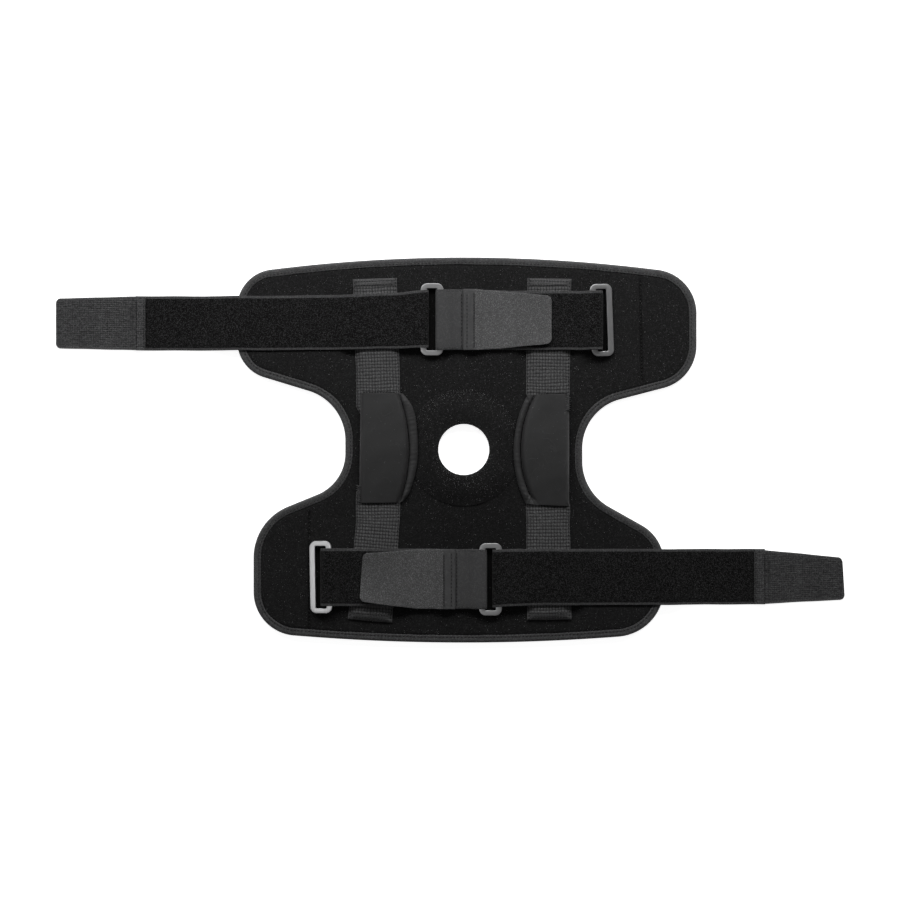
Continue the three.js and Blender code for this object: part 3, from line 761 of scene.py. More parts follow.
class Finish:
    """A material being wired: a Principled surface fed by the shared groups."""

    def __init__(self, **constants):
        self.material = bpy.data.materials.new("finish")
        self.material.use_nodes = True
        self.tree = self.material.node_tree
        self.surface = self.tree.nodes["Principled BSDF"]
        for socket, value in constants.items():
            self.surface.inputs[socket.replace("_", " ")].default_value = value
        place = add(self.tree, "ShaderNodeAttribute", attribute_name="cloth")
        self.position = place.outputs["Vector"]
        self.edge = add(self.tree, "ShaderNodeSeparateXYZ", {0: self.position}).outputs[2]

    def group(self, name, **values):
        """Outputs of a shared group, laid over this surface."""
        sockets = {"Position": self.position}
        sockets.update((label.replace("_", " "), value) for label, value in values.items())
        shared = shader_group(name, *GROUPS[name])
        return add(self.tree, "ShaderNodeGroup", sockets, node_tree=shared).outputs

    def feed(self, **sockets):
        """Links values that change over the surface to the Principled surface."""
        for socket, value in sockets.items():
            self.tree.links.new(value, self.surface.inputs[socket.replace("_", " ")])

    def bump(self, height, millimetres):
        """Fine relief of the given depth."""
        node = add(self.tree, "ShaderNodeBump", {"Height": height, "Distance": millimetres * MM})
        self.feed(Normal=node.outputs["Normal"])


def pile_finish(base, loop_size, depth, lint, darkest, palest):
    """Loop-faced cloth: tangled loops with lint on them, darker where shade is painted in by the third value of
    'cloth', paler where a negative value paints a highlight.
    """
    made = Finish(Specular_IOR_Level=0.06, Sheen_Weight=0.04, Sheen_Roughness=0.6)
    tree = made.tree
    pile = made.group("Loop pile", Loop_size=loop_size)
    tone = made.group("Tone drift", Span=42.0, Depth=0.16)["Tone"]
    specks = made.group("Lint specks", Amount=lint)["Mask"]
    dark, light = colour_of(base, darkest), colour_of(base, palest)
    # Painted shade: the tone is multiplied by 1 - 0.85 times the third value of 'cloth'.
    painted_shade = compute(tree, "MULTIPLY_ADD", made.edge, -0.85, 1.0)
    tone = compute(tree, "MULTIPLY", tone, painted_shade)
    cloth = scaled(tree, mixed(tree, pile["Shade"], dark, light), tone)
    made.feed(
        Base_Color=mixed(tree, compute(tree, "MULTIPLY", specks, 0.35), cloth, colour_of("lint")),
        Roughness=ranged(tree, pile["Shade"], 0, 1, 1.0, 0.86),
    )
    made.bump(pile["Height"], depth)
    return made.material


def woven_finish(base, warp, weft, depth, contrast, rub=0.0, fluff=0.9, streaks=0.0):
    """Woven tape: crossing threads with fluff and streaks along them, and edges made paler: wear on most tapes, a
    painted highlight on the tails.
    """
    made = Finish(Specular_IOR_Level=0.12, Sheen_Weight=0.03, Sheen_Roughness=0.5)
    tree = made.tree
    weave = made.group("Thread weave", Warp_pitch=warp, Weft_pitch=weft)
    tone = made.group("Tone drift", Span=26.0, Depth=0.14)["Tone"]
    fuzz = made.group("Loop pile", Loop_size=0.8)["Shade"]
    worn = made.group("Rubbed edge", Edge=made.edge)["Mask"]
    fluffed = compute(tree, "MULTIPLY", fuzz, fluff)
    blend = compute(tree, "MULTIPLY_ADD", weave["Height"], 0.55, fluffed)
    if streaks:
        drawn = noise(tree, stretched(tree, made.position, (0.13, 1.2, 0.0)), 1.0, 2.0)
        blend = compute(tree, "MULTIPLY_ADD", compute(tree, "SUBTRACT", drawn, 0.5), streaks, blend)
    cloth = mixed(tree, blend, colour_of(base, 1 - contrast), colour_of(base, 1 + contrast))
    pale = mixed(tree, compute(tree, "MULTIPLY", worn, rub), cloth, colour_of(base, 2.2))
    made.feed(
        Base_Color=scaled(tree, pale, tone),
        Roughness=ranged(tree, weave["Over"], 0, 1, 0.78, 0.95),
    )
    made.bump(weave["Height"], depth)
    return made.material


def plush_pile():
    """Brushed face of the panel and of the ring pad."""
    return pile_finish("plush", loop_size=0.7, depth=0.3, lint=0.10, darkest=0.66, palest=2.0)


def strap_loops():
    """Loop face of the straps, which the hooks grip."""
    return pile_finish("strap", loop_size=0.52, depth=0.3, lint=0.06, darkest=0.08, palest=4.05)


def loose_loops():
    """Loops that stand up out of the plush."""
    return pile_finish("plush", loop_size=0.5, depth=0.05, lint=0.0, darkest=0.6, palest=2.2)


def binding_tape():
    """Tape that is folded round the panel's edge."""
    return woven_finish("binding", warp=0.7, weft=0.5, depth=0.16, contrast=0.45, rub=0.3)


def waffle_webbing():
    """Tape of the sleeves, in step with the weave of their mesh."""
    size = sizes()
    return woven_finish(
        "webbing", warp=size.weft_pitch, weft=size.warp_pitch, depth=0.20, contrast=0.80,
        rub=0.25, fluff=0.4,
    )


def strap_selvedge():
    """Flat woven edges of the straps."""
    return woven_finish("selvedge", warp=1.5, weft=0.8, depth=0.10, contrast=0.5)


def tack_thread():
    """Grey thread of the bar tacks."""
    return woven_finish("webbing", warp=0.5, weft=0.5, depth=0.03, contrast=0.5)


def strap_back():
    """Smooth back of the straps."""
    return woven_finish("strap_back", warp=0.9, weft=0.7, depth=0.05, contrast=0.22)


def tail_tape():
    """Ribbed tape that carries the hooks."""
    return woven_finish(
        "hook_tape", warp=1.6, weft=sizes().hook_pitch, depth=0.10, contrast=0.7,
        # The strong paling of the edges here is a painted highlight along the tails' edges.
        rub=0.9, streaks=1.3,
    )


def tail_hooks():
    """Hooks of the tails, plainer than the tape that they stand on."""
    return woven_finish("hook_tape", warp=0.3, weft=0.3, depth=0.01, contrast=0.15)


def tab_face():
    """Grainy tab tape, paler where it is loose and gripped than where it is sewn down."""
    made = Finish(Specular_IOR_Level=0.16)
    tree = made.tree
    grain = made.group("Loop pile", Loop_size=0.55)
    weave = made.group("Thread weave", Warp_pitch=1.1, Weft_pitch=1.1)
    tone = made.group("Tone drift", Span=30.0, Depth=0.16)["Tone"]
    worn = made.group("Rubbed edge", Edge=made.edge)["Mask"]
    gripped = mixed(tree, grain["Shade"], colour_of("tab", 0.70), colour_of("tab", 1.95))
    cloth = mixed(tree, worn, gripped, colour_of("strap_back"))
    made.feed(
        Base_Color=scaled(tree, cloth, tone),
        Roughness=ranged(tree, grain["Shade"], 0, 1, 0.72, 0.92),
    )
    woven = compute(tree, "MULTIPLY", weave["Height"], 0.5)
    made.bump(compute(tree, "ADD", grain["Height"], woven), 0.16)
    return made.material


def cover_knit():
    """Smooth knit over foam, paler in a band along its outer edge."""
    made = Finish(Specular_IOR_Level=0.22, Sheen_Weight=0.04, Sheen_Roughness=0.4)
    tree = made.tree
    knit = made.group("Thread weave", Warp_pitch=0.55, Weft_pitch=0.4)
    tone = made.group("Tone drift", Span=26.0, Depth=0.14)["Tone"]
    lint = made.group("Lint specks", Amount=0.10)["Mask"]
    worn = made.group("Rubbed edge", Edge=made.edge)["Mask"]
    swell = noise(tree, made.position, 0.06, 2.0)
    bent = compute(tree, "ABSOLUTE", compute(tree, "SUBTRACT", swell, 0.5))
    patches = ranged(tree, noise(tree, made.position, 0.045, 1.0), 0.5, 0.62)
    creases = compute(tree, "MULTIPLY", ranged(tree, bent, 0.0, 0.012, 1.0, 0.0), patches)
    cloth = mixed(tree, knit["Height"], colour_of("cover", 0.88), colour_of("cover", 1.1))
    creased = mixed(tree, creases, cloth, colour_of("cover", 1.3))
    pale_edge = mixed(tree, worn, creased, colour_of("cover", 4.0))
    dusty = mixed(tree, compute(tree, "MULTIPLY", lint, 0.35), pale_edge, colour_of("lint"))
    made.feed(
        Base_Color=scaled(tree, dusty, tone),
        Roughness=ranged(tree, tone, 0.9, 1.1, 0.5, 0.66),
    )
    made.bump(compute(tree, "ADD", knit["Height"], compute(tree, "MULTIPLY", creases, 3.0)), 0.035)
    return made.material


def satin_plate():
    """Satin nickel plate with fine rub marks, brighter on its worn edges."""
    made = Finish(Metallic=1.0)
    tree = made.tree
    marks = noise(tree, stretched(tree, made.position, (2.4, 0.16, 1.0)), 1.0, 4.0, 0.6)
    tone = made.group("Tone drift", Span=9.0, Depth=0.12)["Tone"]
    worn = made.group("Rubbed edge", Edge=made.edge)["Mask"]
    plate = mixed(tree, marks, colour_of("metal", 0.86), colour_of("metal", 1.1))
    bright = mixed(tree, compute(tree, "MULTIPLY", worn, 0.25), plate, colour_of("metal", 1.3))
    made.feed(
        Base_Color=scaled(tree, bright, tone),
        Roughness=ranged(tree, marks, 0.3, 0.7, 0.32, 0.48),
    )
    made.bump(marks, 0.012)
    return made.material


def sewing_thread():
    """Twisted dark thread."""
    made = Finish(Specular_IOR_Level=0.25)
    tree = made.tree
    twist = made.group("Thread weave", Warp_pitch=0.35, Weft_pitch=0.35)
    tone = made.group("Tone drift", Span=12.0, Depth=0.2)["Tone"]
    strand = mixed(tree, twist["Height"], colour_of("thread", 0.7), colour_of("thread", 1.4))
    made.feed(
        Base_Color=scaled(tree, strand, tone),
        Roughness=ranged(tree, twist["Over"], 0, 1, 0.5, 0.7),
    )
    made.bump(twist["Height"], 0.03)
    return made.material


def pale_fibre():
    """Lint caught on the cloth."""
    made = Finish(Specular_IOR_Level=0.1)
    tree = made.tree
    tone = made.group("Tone drift", Span=3.0, Depth=0.5)["Tone"]
    made.feed(
        Base_Color=scaled(tree, colour_of("lint")[:3], tone),
        Roughness=ranged(tree, tone, 0.5, 1.5, 0.8, 1.0),
    )
    return made.material


def floor_paper():
    """Plain pale paper that is lit from below as well."""
    made = Finish(Roughness=0.9, Specular_IOR_Level=0.0, Emission_Strength=0.88)
    tree = made.tree
    made.surface.inputs["Emission Color"].default_value = (1, 1, 1, 1)
    place = add(tree, "ShaderNodeTexCoord").outputs["Object"]
    fibre = noise(tree, place, 60.0, 3.0)
    made.feed(Base_Color=mixed(tree, fibre, colour_of("floor", 0.99), colour_of("floor", 1.0)))
    return made.material


def finish(make):
    """A material made by its own function, and named after it, the first time that it is needed."""
    name = make.__name__.replace("_", " ")
    if name not in bpy.data.materials:
        make().name = name
    return bpy.data.materials[name]


# Padded panel

def panel_depth(points, edge, inward):
    """How far inside the panel's outline each point lies."""
    depth, batch = np.empty(len(points)), 2000
    for first in range(0, len(points), batch):
        part = points[first:first + batch]
        nearest = ((part[:, None, :] - edge[None]) ** 2).sum(-1).argmin(1)
        depth[first:first + batch] = ((part - edge[nearest]) * inward[nearest]).sum(-1)
    return depth


def wing_seam_x(seam, y):
    """x of a wing's seam, which may lean a little."""
    return seam.x + seam.lean * (y - (seam.low + seam.high) / 2) / (seam.high - seam.low)


def seam_channel(x, y):
    """1 in the middle of a wing's sewn channel, falling to 0 beside it."""
    channel = np.zeros(len(x))
    for seam in WING_SEAMS:
        lower_end = smoothstep((y - seam.low + SEAM_RUN_OUT) / SEAM_RUN_OUT)
        upper_end = smoothstep((seam.high + SEAM_RUN_OUT - y) / SEAM_RUN_OUT)
        across = np.exp(-(x - wing_seam_x(seam, y)) ** 2)
        channel = np.maximum(channel, across * (lower_end * upper_end))
    return channel


def wing_seam_line(seam, size):
    """Line of the stitches along the bottom of a wing's sewn channel."""
    y = np.arange(seam.low, seam.high)
    return np.column_stack([wing_seam_x(seam, y), y, np.full(len(y), PANEL_TOP - size.seam_depth + 0.2)])


def under_rings(x, y):
    """1 under the rings and the straps' folds, falling to 0 at the rings' edges: where shade is painted on the
    pile.
    """
    painted_shade = np.zeros(len(x))
    for strap in STRAPS:
        for place in ("inner", "end"):
            low, high = node_box(f"{strap.name}_{place}_ring")
            inside = np.minimum.reduce([x - low[0], high[0] - x, y - low[1], high[1] - y])
            painted_shade = np.maximum(painted_shade, smoothstep((inside - 2) / 3))
    return painted_shade


def brushed_flat(x, y):
    """How much shade is painted on the pile: most on the calf half, between the sleeves."""
    return 0.36 * np.exp(-((x - 20) / 140) ** 2 - ((y + 85) / 95) ** 2)


def panel_heights(x, y, depth, size):
    """Upper and lower face of the panel, thinned where the binding takes it in."""
    tape = 1.3
    tucked_top, tucked_low = BINDING_HIGH - tape, BINDING_LOW + tape
    share = smoothstep((depth - BINDING_WIDTH + 1.3) / 2.8)
    uneven = 0.4 + 0.35 * ripple(x, y, 55, SEED) + 0.25 * ripple(x, y, 16, SEED + 1)
    full = PANEL_TOP + size.panel_swell * uneven
    sunk = size.seam_depth * seam_channel(x, y) * smoothstep((depth - BINDING_WIDTH) / 5)
    top = tucked_top + (full - tucked_top) * share - sunk
    low = tucked_low * (1 - smoothstep((depth - BINDING_WIDTH + 0.4) / 3))
    from_hole = np.hypot(x, y) - HOLE_RADIUS
    return np.minimum(top, FACE - 0.08) - 0.5 * np.exp(-from_hole / 0.5), low


def panel_points(size):
    """Plan points of the panel: rows along its edge, the hole and the seams, and an even field between."""
    edge, inward, _ = panel_edge(size.mesh_step)
    rows = [edge + inward * depth for depth in EDGE_ROWS]
    circle = on_circle(np.linspace(0, 2 * math.pi, HOLE_POINTS, endpoint=False))
    holes = [circle * (HOLE_RADIUS + out) for out in HOLE_ROWS]
    half_wide, half_tall = 215, 185
    xs = np.arange(-half_wide, half_wide, size.mesh_step)
    ys = np.arange(-half_tall, half_tall, size.mesh_step * 0.87)
    xs, ys = np.meshgrid(xs, ys)
    xs[::2] += size.mesh_step / 2
    x, y = xs.ravel(), ys.ravel()
    field = np.stack([x, y], axis=1)
    free = (panel_depth(field, edge, inward) > 12.6) & (np.hypot(x, y) > HOLE_RADIUS + 6)
    seams = []
    for seam in WING_SEAMS:
        low, high = seam.low - SEAM_RUN_OUT, seam.high + SEAM_RUN_OUT
        run = np.arange(low, high, size.mesh_step)
        seams += [np.stack([wing_seam_x(seam, run) + aside, run], axis=1) for aside in SEAM_ROWS]
        free &= (y < low) | (y > high) | (np.abs(x - wing_seam_x(seam, y)) > SEAM_ROWS[-1] + 1)
    seams = np.vstack(seams)
    seams = seams[panel_depth(seams, edge, inward) > 12]
    return np.vstack([*rows, *holes, seams, field[free]]), edge, inward


def panel_mesh(size):
    """The padded panel as a closed body, and its upper points for what lies on it."""
    plan, edge, inward = panel_points(size)
    rim = np.arange(len(edge))
    hole = len(edge) * len(EDGE_ROWS) + np.arange(HOLE_POINTS)
    bounds = [*zip(rim, np.roll(rim, -1)), *zip(hole, np.roll(hole, -1))]
    bounds = [(int(a), int(b)) for a, b in bounds]
    made = delaunay_2d_cdt([Vector(point) for point in plan], bounds, [], 0, 1e-5)
    flat, faces = np.array(made[0])[:, :2], np.array(made[2])
    middle = flat[faces].mean(1)
    inside = panel_depth(middle, edge, inward) > EDGE_ROWS[0] - 0.05
    keep = inside & (np.hypot(*middle.T) > HOLE_RADIUS - 0.05)
    faces = faces[keep]
    depth = panel_depth(flat, edge, inward)
    top, low = panel_heights(flat[:, 0], flat[:, 1], depth, size)
    count = len(flat)
    points = np.vstack([np.column_stack([flat, top]), np.column_stack([flat, low])])
    used = np.sort(np.concatenate([faces[:, [0, 1]], faces[:, [1, 2]], faces[:, [2, 0]]]), axis=1)
    lone, times = np.unique(used, axis=0, return_counts=True)
    lone = {tuple(pair) for pair in lone[times == 1]}
    walls = [(b, a, a + count, b + count) for face in faces.tolist()
             for a, b in zip(face, face[1:] + face[:1]) if tuple(sorted((a, b))) in lone]
    # Painted shade on the pile: a line just inside the binding, the wing seams' channels, under the rings and the
    # straps' folds, and over the calf half.
    shade_by_binding = 0.2 * np.exp(-((depth - BINDING_WIDTH - 0.4) / 0.9) ** 2)
    ringed = under_rings(*flat.T)
    painted_shade = np.maximum.reduce([seam_channel(*flat.T), shade_by_binding, 0.9 * ringed, brushed_flat(*flat.T)])
    spread = 1 + (top - low) / np.maximum(np.hypot(*flat.T), 1)
    cloth = np.column_stack([np.vstack([flat, flat * spread[:, None]]), np.tile(painted_shade, 2)])
    mesh = Mesh(points, [faces, faces[:, ::-1] + count, np.array(walls)], cloth)
    return mesh, points[:count][(depth > BINDING_WIDTH + 2) & (ringed < 0.2)]


# Binding

def binding_profile():
    """Section of the folded edge tape, in from the edge and up, and the width of the tape's outer face."""
    high, low, middle = BINDING_HIGH, BINDING_LOW, (BINDING_HIGH + BINDING_LOW) / 2
    over = [
        (6.0, high - 0.7), (5.85, high - 0.3), (5.4, high - 0.06), (4.9, high - 0.02), (4.2, high - 0.24),
        (3.5, high + 0.02), (2.6, high + 0.08), (1.7, high - 0.06), (0.95, high - 0.45), (0.4, high - 1.05),
        (0.08, high - 1.75), (0.0, middle),
    ]
    under = [
        (0.08, low + 1.6), (0.4, low + 0.95), (0.95, low + 0.4), (1.7, low + 0.1), (2.8, low), (4.4, low),
        (5.7, low + 0.12), (6.0, low + 0.55),
    ]
    inside = [
        (5.6, low + 0.8), (2.6, low + 0.85), (1.2, low + 1.4), (0.85, middle), (1.2, high - 1.4),
        (2.6, high - 0.85), (5.6, high - 0.8),
    ]
    profile = np.array(over + under + inside)
    profile[:, 0] += 0.9 * smoothstep((profile[:, 0] - 2.5) / 3.5)
    return profile, run_length(profile[:len(over) + len(under)])[-1]


def binding_mesh(size):
    """The edge tape swept round the panel, drawn down at each stitch; its flat width; and its length."""
    edge, inward, round_it = panel_edge(BINDING_STEP)
    profile, tape_width = binding_profile()
    run = np.arange(len(edge)) * round_it / len(edge)
    pitch = size.stitch + size.stitch_gap
    pull = np.cos(2 * math.pi * run / pitch)[:, None]
    wave = ripple(edge[:, 0], edge[:, 1], 22, SEED + 2)[:, None]
    near_row = np.exp(-(profile[:, 0] - STITCH_ROW) ** 2) * (profile[:, 1] > BINDING_HIGH - 0.5)
    depth = profile[None, :, 0] + (0.16 * wave + 0.22 * pull) * smoothstep((profile[:, 0] - 3.5) / 2.5)
    height = profile[None, :, 1] - 0.12 * near_row * (1 - pull)
    plan = edge[:, None, :] + inward[:, None, :] * depth[..., None]
    points = np.concatenate([plan, height[..., None]], axis=-1)
    across = run_length(profile)
    worn = np.exp(-profile[:, 0] / 0.9)
    cloth = np.stack(np.broadcast_arrays(run[:, None], across[None], worn[None]), axis=-1)
    return ring_body(points, cloth), tape_width, round_it


def binding_seam():
    """Line of the stitches that hold the binding."""
    edge, inward, _ = panel_edge(BINDING_STEP)
    plan = edge + inward * STITCH_ROW
    line = np.column_stack([plan, np.full(len(plan), BINDING_HIGH - 0.2)])
    return np.vstack([line, line[:1]])


# Ring pad round the knee-cap hole

def ring_pad_reach(angles):
    """Outer radius of the ring pad, larger towards the thigh and cut back where a hinge's rim stands."""
    reach = RING_PAD_RADIUS + RING_PAD_EXTRA * np.maximum(np.sin(angles), 0)
    for hinge in HINGES.values():
        rim = bowed_line(hinge.rim, 60)
        facing = math.atan2(*rim[len(rim) // 2][::-1])
        turned = (np.arctan2(rim[:, 1], rim[:, 0]) - facing + math.pi) % (2 * math.pi)
        order = np.argsort(turned)
        at = (angles - facing + math.pi) % (2 * math.pi)
        to_rim = np.interp(at, turned[order], np.hypot(*rim.T)[order], left=math.inf, right=math.inf)
        reach = np.minimum(reach, to_rim - 0.5)
    return reach


def ring_pad_height(share):
    """Face of the ring pad, from 0 at the hole to 1 at its outer edge: a round roll that runs out flat."""
    swell = np.maximum(np.sin(math.pi * (0.16 + 0.84 * share)), 0)
    return FACE + 0.2 + RING_PAD_CROWN * swell ** (0.8 + 0.7 * share)


def ring_pad_mesh():
    """The raised ring as a closed body, its upper points, and the share of pale specks that each gets: lint,
    crowded as painted highlights onto the slopes that face the key light.
    """
    angles = np.linspace(0, 2 * math.pi, 260, endpoint=False)
    reach = ring_pad_reach(angles)[:, None]
    steps = np.concatenate([
        [0, 0.006, 0.02, 0.045], np.linspace(0.08, 0.9, 18), [0.915, 0.93, 0.945, 0.96, 0.975, 0.99, 1],
    ])
    radius = HOLE_RADIUS + 0.05 + (reach - HOLE_RADIUS - 0.05) * steps[None]
    x, y = radius * np.cos(angles)[:, None], radius * np.sin(angles)[:, None]
    from_hole, from_edge = radius - HOLE_RADIUS, reach - radius
    lip = 0.55 * np.exp(-from_hole / 0.5)
    z = ring_pad_height(steps) - lip + 0.10 * ripple(x, y, 17, SEED + 3) * smoothstep(steps * 9)
    top = np.dstack([x, y, z])
    low = np.dstack([x, y, np.full_like(x, FACE)])
    ring = np.concatenate([top, low[:, ::-1]], axis=1)
    # Painted shade along the pad's outer edge and over the calf half; negative values paint a highlight on the
    # hole's lip, and make the right side near the hole paler.
    on_right = np.maximum(np.cos(angles), 0)[:, None]
    painted_shade = np.maximum(0.5 * np.exp(-from_edge), brushed_flat(x, y))
    painted_shade = painted_shade - 0.7 * np.exp(-from_hole / 1.8) - 0.4 * np.exp(-from_hole / 9) * on_right
    painted_shade = np.concatenate([painted_shade, painted_shade[:, ::-1]], axis=1)
    spread = 1 + (RING_PAD_TOP - ring[..., 2:]) / np.hypot(ring[..., :1], ring[..., 1:2])
    cloth = np.concatenate([ring[..., :2] * spread, painted_shade[..., None]], axis=-1)
    face = top[:, 3:].reshape(-1, 3)
    # Pale specks crowd on the slopes that face the key light, near the hole and the edge: painted highlights.
    facing = np.where(from_hole > from_edge, 1, -1) * np.sin(angles)[:, None]
    lit = 0.15 + 2.2 * np.maximum(facing, 0) * np.exp(-np.minimum(from_hole, from_edge) / 4.5)
    lit = (lit * radius * (reach - HOLE_RADIUS) * np.gradient(steps))[:, 3:].ravel()
    return ring_body(ring, cloth), face, lit / lit.sum()


# Woven sleeves

def sleeve_course(side, spacing):
    """A sleeve's middle line, the length along it, its two directions and the share of its width kept."""
    line = sleeve_line(side, spacing)
    along = unit(np.gradient(line, axis=0))
    right = np.stack([along[:, 1], -along[:, 0]], axis=1)
    return line, run_length(line), along, right, sleeve_half(side, line[:, 1:]) / HALF_SLEEVE


def sleeve_mesh(side, size):
    """A sleeve of waffle tape, with its weave in the mesh."""
    points_a_ridge = 5
    line, run, _, right, kept = sleeve_course(side, size.weft_pitch / points_a_ridge)
    columns = round(points_a_ridge * SLEEVE_WIDTH / size.warp_pitch) + 1
    across = np.linspace(-HALF_SLEEVE, HALF_SLEEVE, columns)
    wander = 0.4 * ripple(across[None], run[:, None], 24, SEED + 4)
    weft = np.abs(np.sin(math.pi * (run[:, None] + wander) / size.weft_pitch))
    warp = np.abs(np.sin(math.pi * (across[None] + 0.5 * wander) / size.warp_pitch))
    from_edge = HALF_SLEEVE - np.abs(across)
    from_end = np.minimum(run, run[-1] - run)
    hemmed = smoothstep((size.sleeve_hem - from_end) / 0.8)[:, None]
    plain = np.maximum(smoothstep((size.sleeve_selvedge - from_edge) / 1.2)[None], hemmed)
    waffle = (weft * warp) ** 0.55 * (1 - plain) + plain * (0.55 + 0.45 * weft)
    rise = sleeve_rise(across[None], 2 + from_end[:, None])
    hem = smoothstep(from_edge / 0.35)[None] * smoothstep(from_end / 0.35)[:, None]
    wavy = 0.2 * ripple(np.zeros(len(run)), run, 35, SEED + 5)[:, None] * np.sign(across)
    plan = line[:, None, :] + right[:, None, :] * (across * kept + wavy)[..., None]
    z = FACE + rise * (0.55 + 0.45 * hem) - size.weave_depth * (1 - waffle)
    top = np.concatenate([plan, z[..., None]], axis=-1)
    bottom = np.concatenate([plan, np.full(z.shape + (1,), FACE)], axis=-1)
    worn = np.exp(-from_edge / 0.8)
    finer = 1 + hemmed
    cloth = np.stack(np.broadcast_arrays(
        (run[:, None] + wander) * finer, (across[None] + 0.5 * wander) * finer, worn[None]), axis=-1)
    return slab(top, bottom, cloth, flat_bottom=True), run[-1]


def sleeve_seams(side):
    """Lines of stitches along a sleeve's two edges, and lines of closer ones across its ends."""
    line, run, along, right, kept = sleeve_course(side, 1.0)
    from_end = np.minimum(run, run[-1] - run)
    sides, ends = [], []
    for offset in (-HALF_SLEEVE + 1.5, HALF_SLEEVE - 1.5):
        z = FACE + sleeve_rise(np.full(len(run), offset), 2 + from_end) - 0.12
        sides.append(np.column_stack([line + right * offset * kept, z]))
    offsets = np.linspace(-HALF_SLEEVE + 2, HALF_SLEEVE - 2, 40)
    for end in (0, -1):
        for inset in (2.4, 6.0):
            place = line[end] + along[end] * (inset if end == 0 else -inset)
            z = FACE + sleeve_rise(offsets, np.full(len(offsets), 2 + inset)) - 0.12
            ends.append(np.column_stack([place + right[end] * offsets[:, None], z]))
    return sides, ends


# Hinge covers and rims

def roll(distance, width):
    """How far a rolled edge has dropped: 1 at the edge, 0 from its width on."""
    share = 1 - np.clip(distance / width, 0, 1)
    return 1 - np.sqrt(1 - share ** 2)


def square_corner_round(first, second, radius):
    """Distances from two edges that meet at a corner, moved so that the corner is round."""
    a, b = np.maximum(radius - first, 0), np.maximum(radius - second, 0)
    longest, slant = np.maximum(a, b), np.hypot(a, b)
    shrink = np.where(slant > 0, longest / np.maximum(slant, 1e-9), 1)
    both = (a > 0) & (b > 0)
    return np.where(both, radius - a * shrink, first), np.where(both, radius - b * shrink, second)


def eased(count):
    """Shares from 0 to 1 that lie closer together near both ends."""
    return (1 - np.cos(np.linspace(0, math.pi, count))) / 2


def cover_plan(hinge, share, reach):
    """Plan points of a cover, and how far each lies from its outer edge, its groove and its nearer end."""
    outer = np.array(hinge.outer[0]) + share * (np.array(hinge.outer[1]) - hinge.outer[0])
    groove = bowed_line(hinge.groove, 400)
    groove = groove[np.round(share[:, 0] * (len(groove) - 1)).astype(int)]
    width = np.linalg.norm(groove - outer, axis=1)[:, None]
    tall = np.linalg.norm(outer[-1] - outer[0])
    from_outer, from_groove = reach * width, (1 - reach) * width
    from_low, from_high = np.broadcast_arrays(share * tall, (1 - share) * tall, from_outer)[:2]
    moved, low_moved = square_corner_round(from_outer, from_low, COVER_CORNER)
    moved, high_moved = square_corner_round(moved, from_high, COVER_CORNER)
    rise = (low_moved - from_low) - (high_moved - from_high)
    plan = outer[:, None, :] + (groove - outer)[:, None, :] * (moved / width)[..., None]
    plan = plan + np.stack([np.zeros_like(rise), rise], axis=-1)
    return plan, from_outer, from_groove, np.minimum(from_low, from_high)


def cover_mesh(side, size):
    """A padded cover with a rolled straight edge, falling to the groove on its curved side."""
    hinge = HINGES[side]
    rows, columns = 110, 56
    share, reach = eased(rows)[:, None], eased(columns)[None]
    plan, from_outer, from_groove, from_end = cover_plan(hinge, share, reach)
    x, y = plan[..., 0], plan[..., 1]
    outer_drop = 4.2 * roll(from_outer, size.cover_roll)
    groove_drop = 4.6 * roll(from_groove, size.cover_roll)
    end_drop = 0.3 * roll(from_end, 0.6)
    drop = np.sqrt(outer_drop ** 2 + groove_drop ** 2 + end_drop ** 2)
    endward = np.abs(2 * share - 1)
    fall = np.where(share < 0.5, 3.4 * endward ** 1.7, 2.2 * endward ** 1.5)
    crown = 0.9 * (2 * reach - 0.85) ** 2 + fall
    creases = ripple(x * 0.4, y, 7, SEED + 7) * (0.4 + roll(from_end, 22))
    folds = 0.14 * ripple(x, y, 21, SEED + 6) + 0.05 * creases
    floor = under_cover(side, x, y) + 0.15
    top = np.maximum(COVER_TOP - 0.8 - drop - crown + folds, floor + 0.6)
    # A paler band along the outer edge, wider on the right cover.
    pale_edge = 1.57 * np.exp(-from_outer / 0.45) + hinge.worn * np.exp(-from_outer / 2)
    cloth = np.dstack([x, y, pale_edge * smoothstep(from_end / 5)])
    return slab(np.dstack([x, y, top]), np.dstack([x, y, floor]), cloth)


def rim_mesh(side):
    """A padded roll on the knee side of a cover, thinner at both ends."""
    hinge = HINGES[side]
    rows, columns = 120, 22
    towards_knee = GROOVE_WIDTH if side == "left" else -GROOVE_WIDTH
    inner = bowed_line([(x + towards_knee, y) for x, y in hinge.groove], rows)
    outer = bowed_line(hinge.rim, rows)
    share, reach = np.linspace(0, 1, rows)[:, None], eased(columns)[None]
    plan = inner[:, None, :] + (outer - inner)[:, None, :] * reach[..., None]
    x, y = plan[..., 0], plan[..., 1]
    floor = under_cover(side, x, y) + 0.12
    ends = np.minimum(share, 1 - share) * 100
    tapered = 0.45 + 0.55 * smoothstep(ends / 9)
    puckers = 1 + 0.05 * np.sin(share * 190 + 3 * np.sin(share * 23)) + 0.05 * ripple(x, y, 12, SEED + 8)
    height = (RIM_TOP - FACE + 0.25) * tapered * puckers
    top = floor + 0.25 + height * np.sin(math.pi * (0.04 + 0.92 * reach)) ** 0.5
    limit = np.where(ends < 12, floor + 1.6 + ends * 0.2, RIM_TOP + 0.8)
    top = np.minimum(top, limit)
    cloth = np.stack(np.broadcast_arrays(x, y, 0.12 * (1 - reach) * np.ones_like(x)), axis=-1)
    return slab(np.dstack([x, y, top]), np.dstack([x, y, floor]), cloth)


